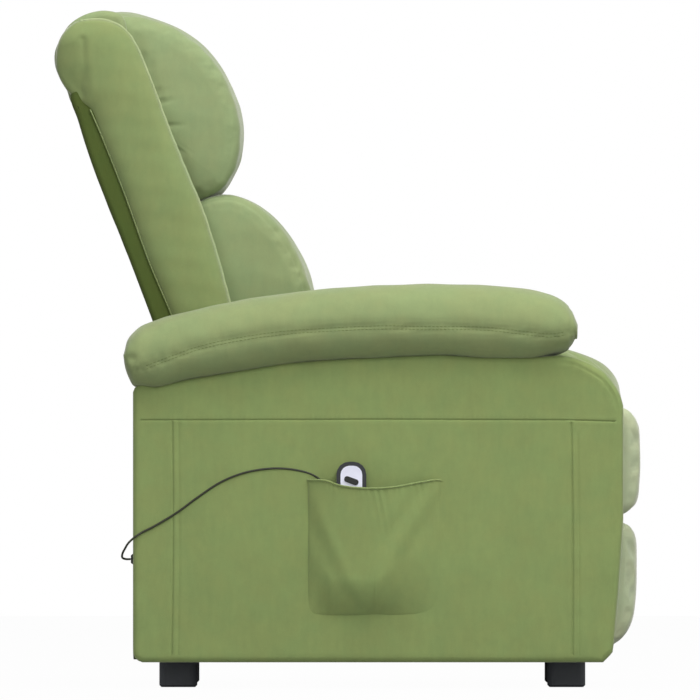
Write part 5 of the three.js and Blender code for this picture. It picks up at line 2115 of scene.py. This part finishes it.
@dataclass(frozen=True)
class Studio:
    """The camera, the pale floor and the soft lamps.

    Attributes:
        camera_place: Where the camera is, in metres.
        lens: Its focal length.
        lamps: The lamps.
        ambient: The strength of the even light from all round.
        floor_half: Half of the floor's width.
        floor_level: The floor's height.
        floor_tone: How light the floor is where it sends light on to the chair.
        floor_glow: The share of plain white that the camera sees in the floor.
    """

    camera_place: tuple[float, float, float] = (-34.763, -0.00398, 0.4985)
    lens: float = 1200.0
    lamps: tuple[Lamp, ...] = (
        Lamp("key", (-2.7, -2.0, 3.7), 2.2, 112.0),
        Lamp("top", (-1.2, 0.2, 4.2), 2.4, 92.0),
        Lamp("fill", (-5.0, 0.6, 1.6), 3.4, 60.0, aim=0.45),
        Lamp("far fill", (4.2, -1.6, 3.0), 3.0, 60.0),
    )
    ambient: float = 0.34
    floor_half: float = 9000.0
    floor_level: float = -0.2
    floor_tone: float = 0.35
    floor_glow: float = 0.978

    def camera(self) -> None:
        """Sets up the long-lens camera square to the sitter's right side."""
        data = bpy.data.cameras.new("side camera")
        data.lens = self.lens
        data.sensor_width = 36.0
        data.clip_start, data.clip_end = 0.5, 200.0
        camera = bpy.data.objects.new("side camera", data)
        camera.location = self.camera_place
        camera.rotation_euler = (math.pi / 2, 0.0, -math.pi / 2)
        bpy.context.scene.collection.objects.link(camera)
        bpy.context.scene.camera = camera

    def floor(self) -> None:
        """Lays a pale floor that shows little but the chair's shadow."""
        signs = ((-1, -1), (1, -1), (1, 1), (-1, 1))
        corners = [(a * self.floor_half, b * self.floor_half, self.floor_level) for a, b in signs]
        floor = make_mesh("studio_floor", np.array(corners), [[0, 1, 2, 3]], smooth=False)
        pale = Shader(bpy.data.materials.new("studio floor"))
        seen = pale.node("ShaderNodeLightPath", {}, "Is Camera Ray") * self.floor_glow
        matt = pale.node("ShaderNodeBsdfDiffuse", {"Color": (*[self.floor_tone] * 3, 1.0)})
        glow = pale.node("ShaderNodeEmission", {"Color": WHITE, "Strength": 1.0})
        pale.end(pale.node("ShaderNodeMixShader", {0: seen, 1: matt, 2: glow}))
        floor.data.materials.append(pale.owner)

    def light(self) -> None:
        """Hangs the lamps and lights the room evenly, with white behind the chair."""
        for lamp in self.lamps:
            lamp.hang()
        world = Shader(bpy.data.worlds.new("studio"))
        seen = world.node("ShaderNodeLightPath", {}, "Is Camera Ray")
        room = world.node("ShaderNodeBackground", {"Color": WHITE, "Strength": self.ambient})
        white = world.node("ShaderNodeBackground", {"Color": WHITE, "Strength": 1.0})
        mixed = world.node("ShaderNodeMixShader", {0: seen, 1: room, 2: white})
        world.end(mixed, "ShaderNodeOutputWorld")
        bpy.context.scene.world = world.owner
        bpy.context.scene.view_settings.view_transform = "Standard"


# ---- The whole chair ------------------------------------------------------------------------


def main() -> None:
    """Builds the chair's looks."""
    logging.basicConfig(level=logging.INFO, format="%(name)s: %(message)s")
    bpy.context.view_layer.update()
    studio = Studio()
    studio.camera()
    finishes = Finishes()
    HandsetCord(finishes).build()
    finishes.dress_solids(frame)
    for side in Side:
        arm = Arm(finishes, side)
        arm.box()
        arm.stitching(arm.pad())
    seat = Seat(finishes)
    seat.cushion()
    seat.footrest()
    back = Back(finishes)
    for side in Side:
        back.wing(side)
    back.cushions()
    back.cover()
    back.roll()
    RearSkirt(finishes).build()
    Pocket(finishes).build()
    studio.floor()
    studio.light()


if __name__ == "__main__":
    main()
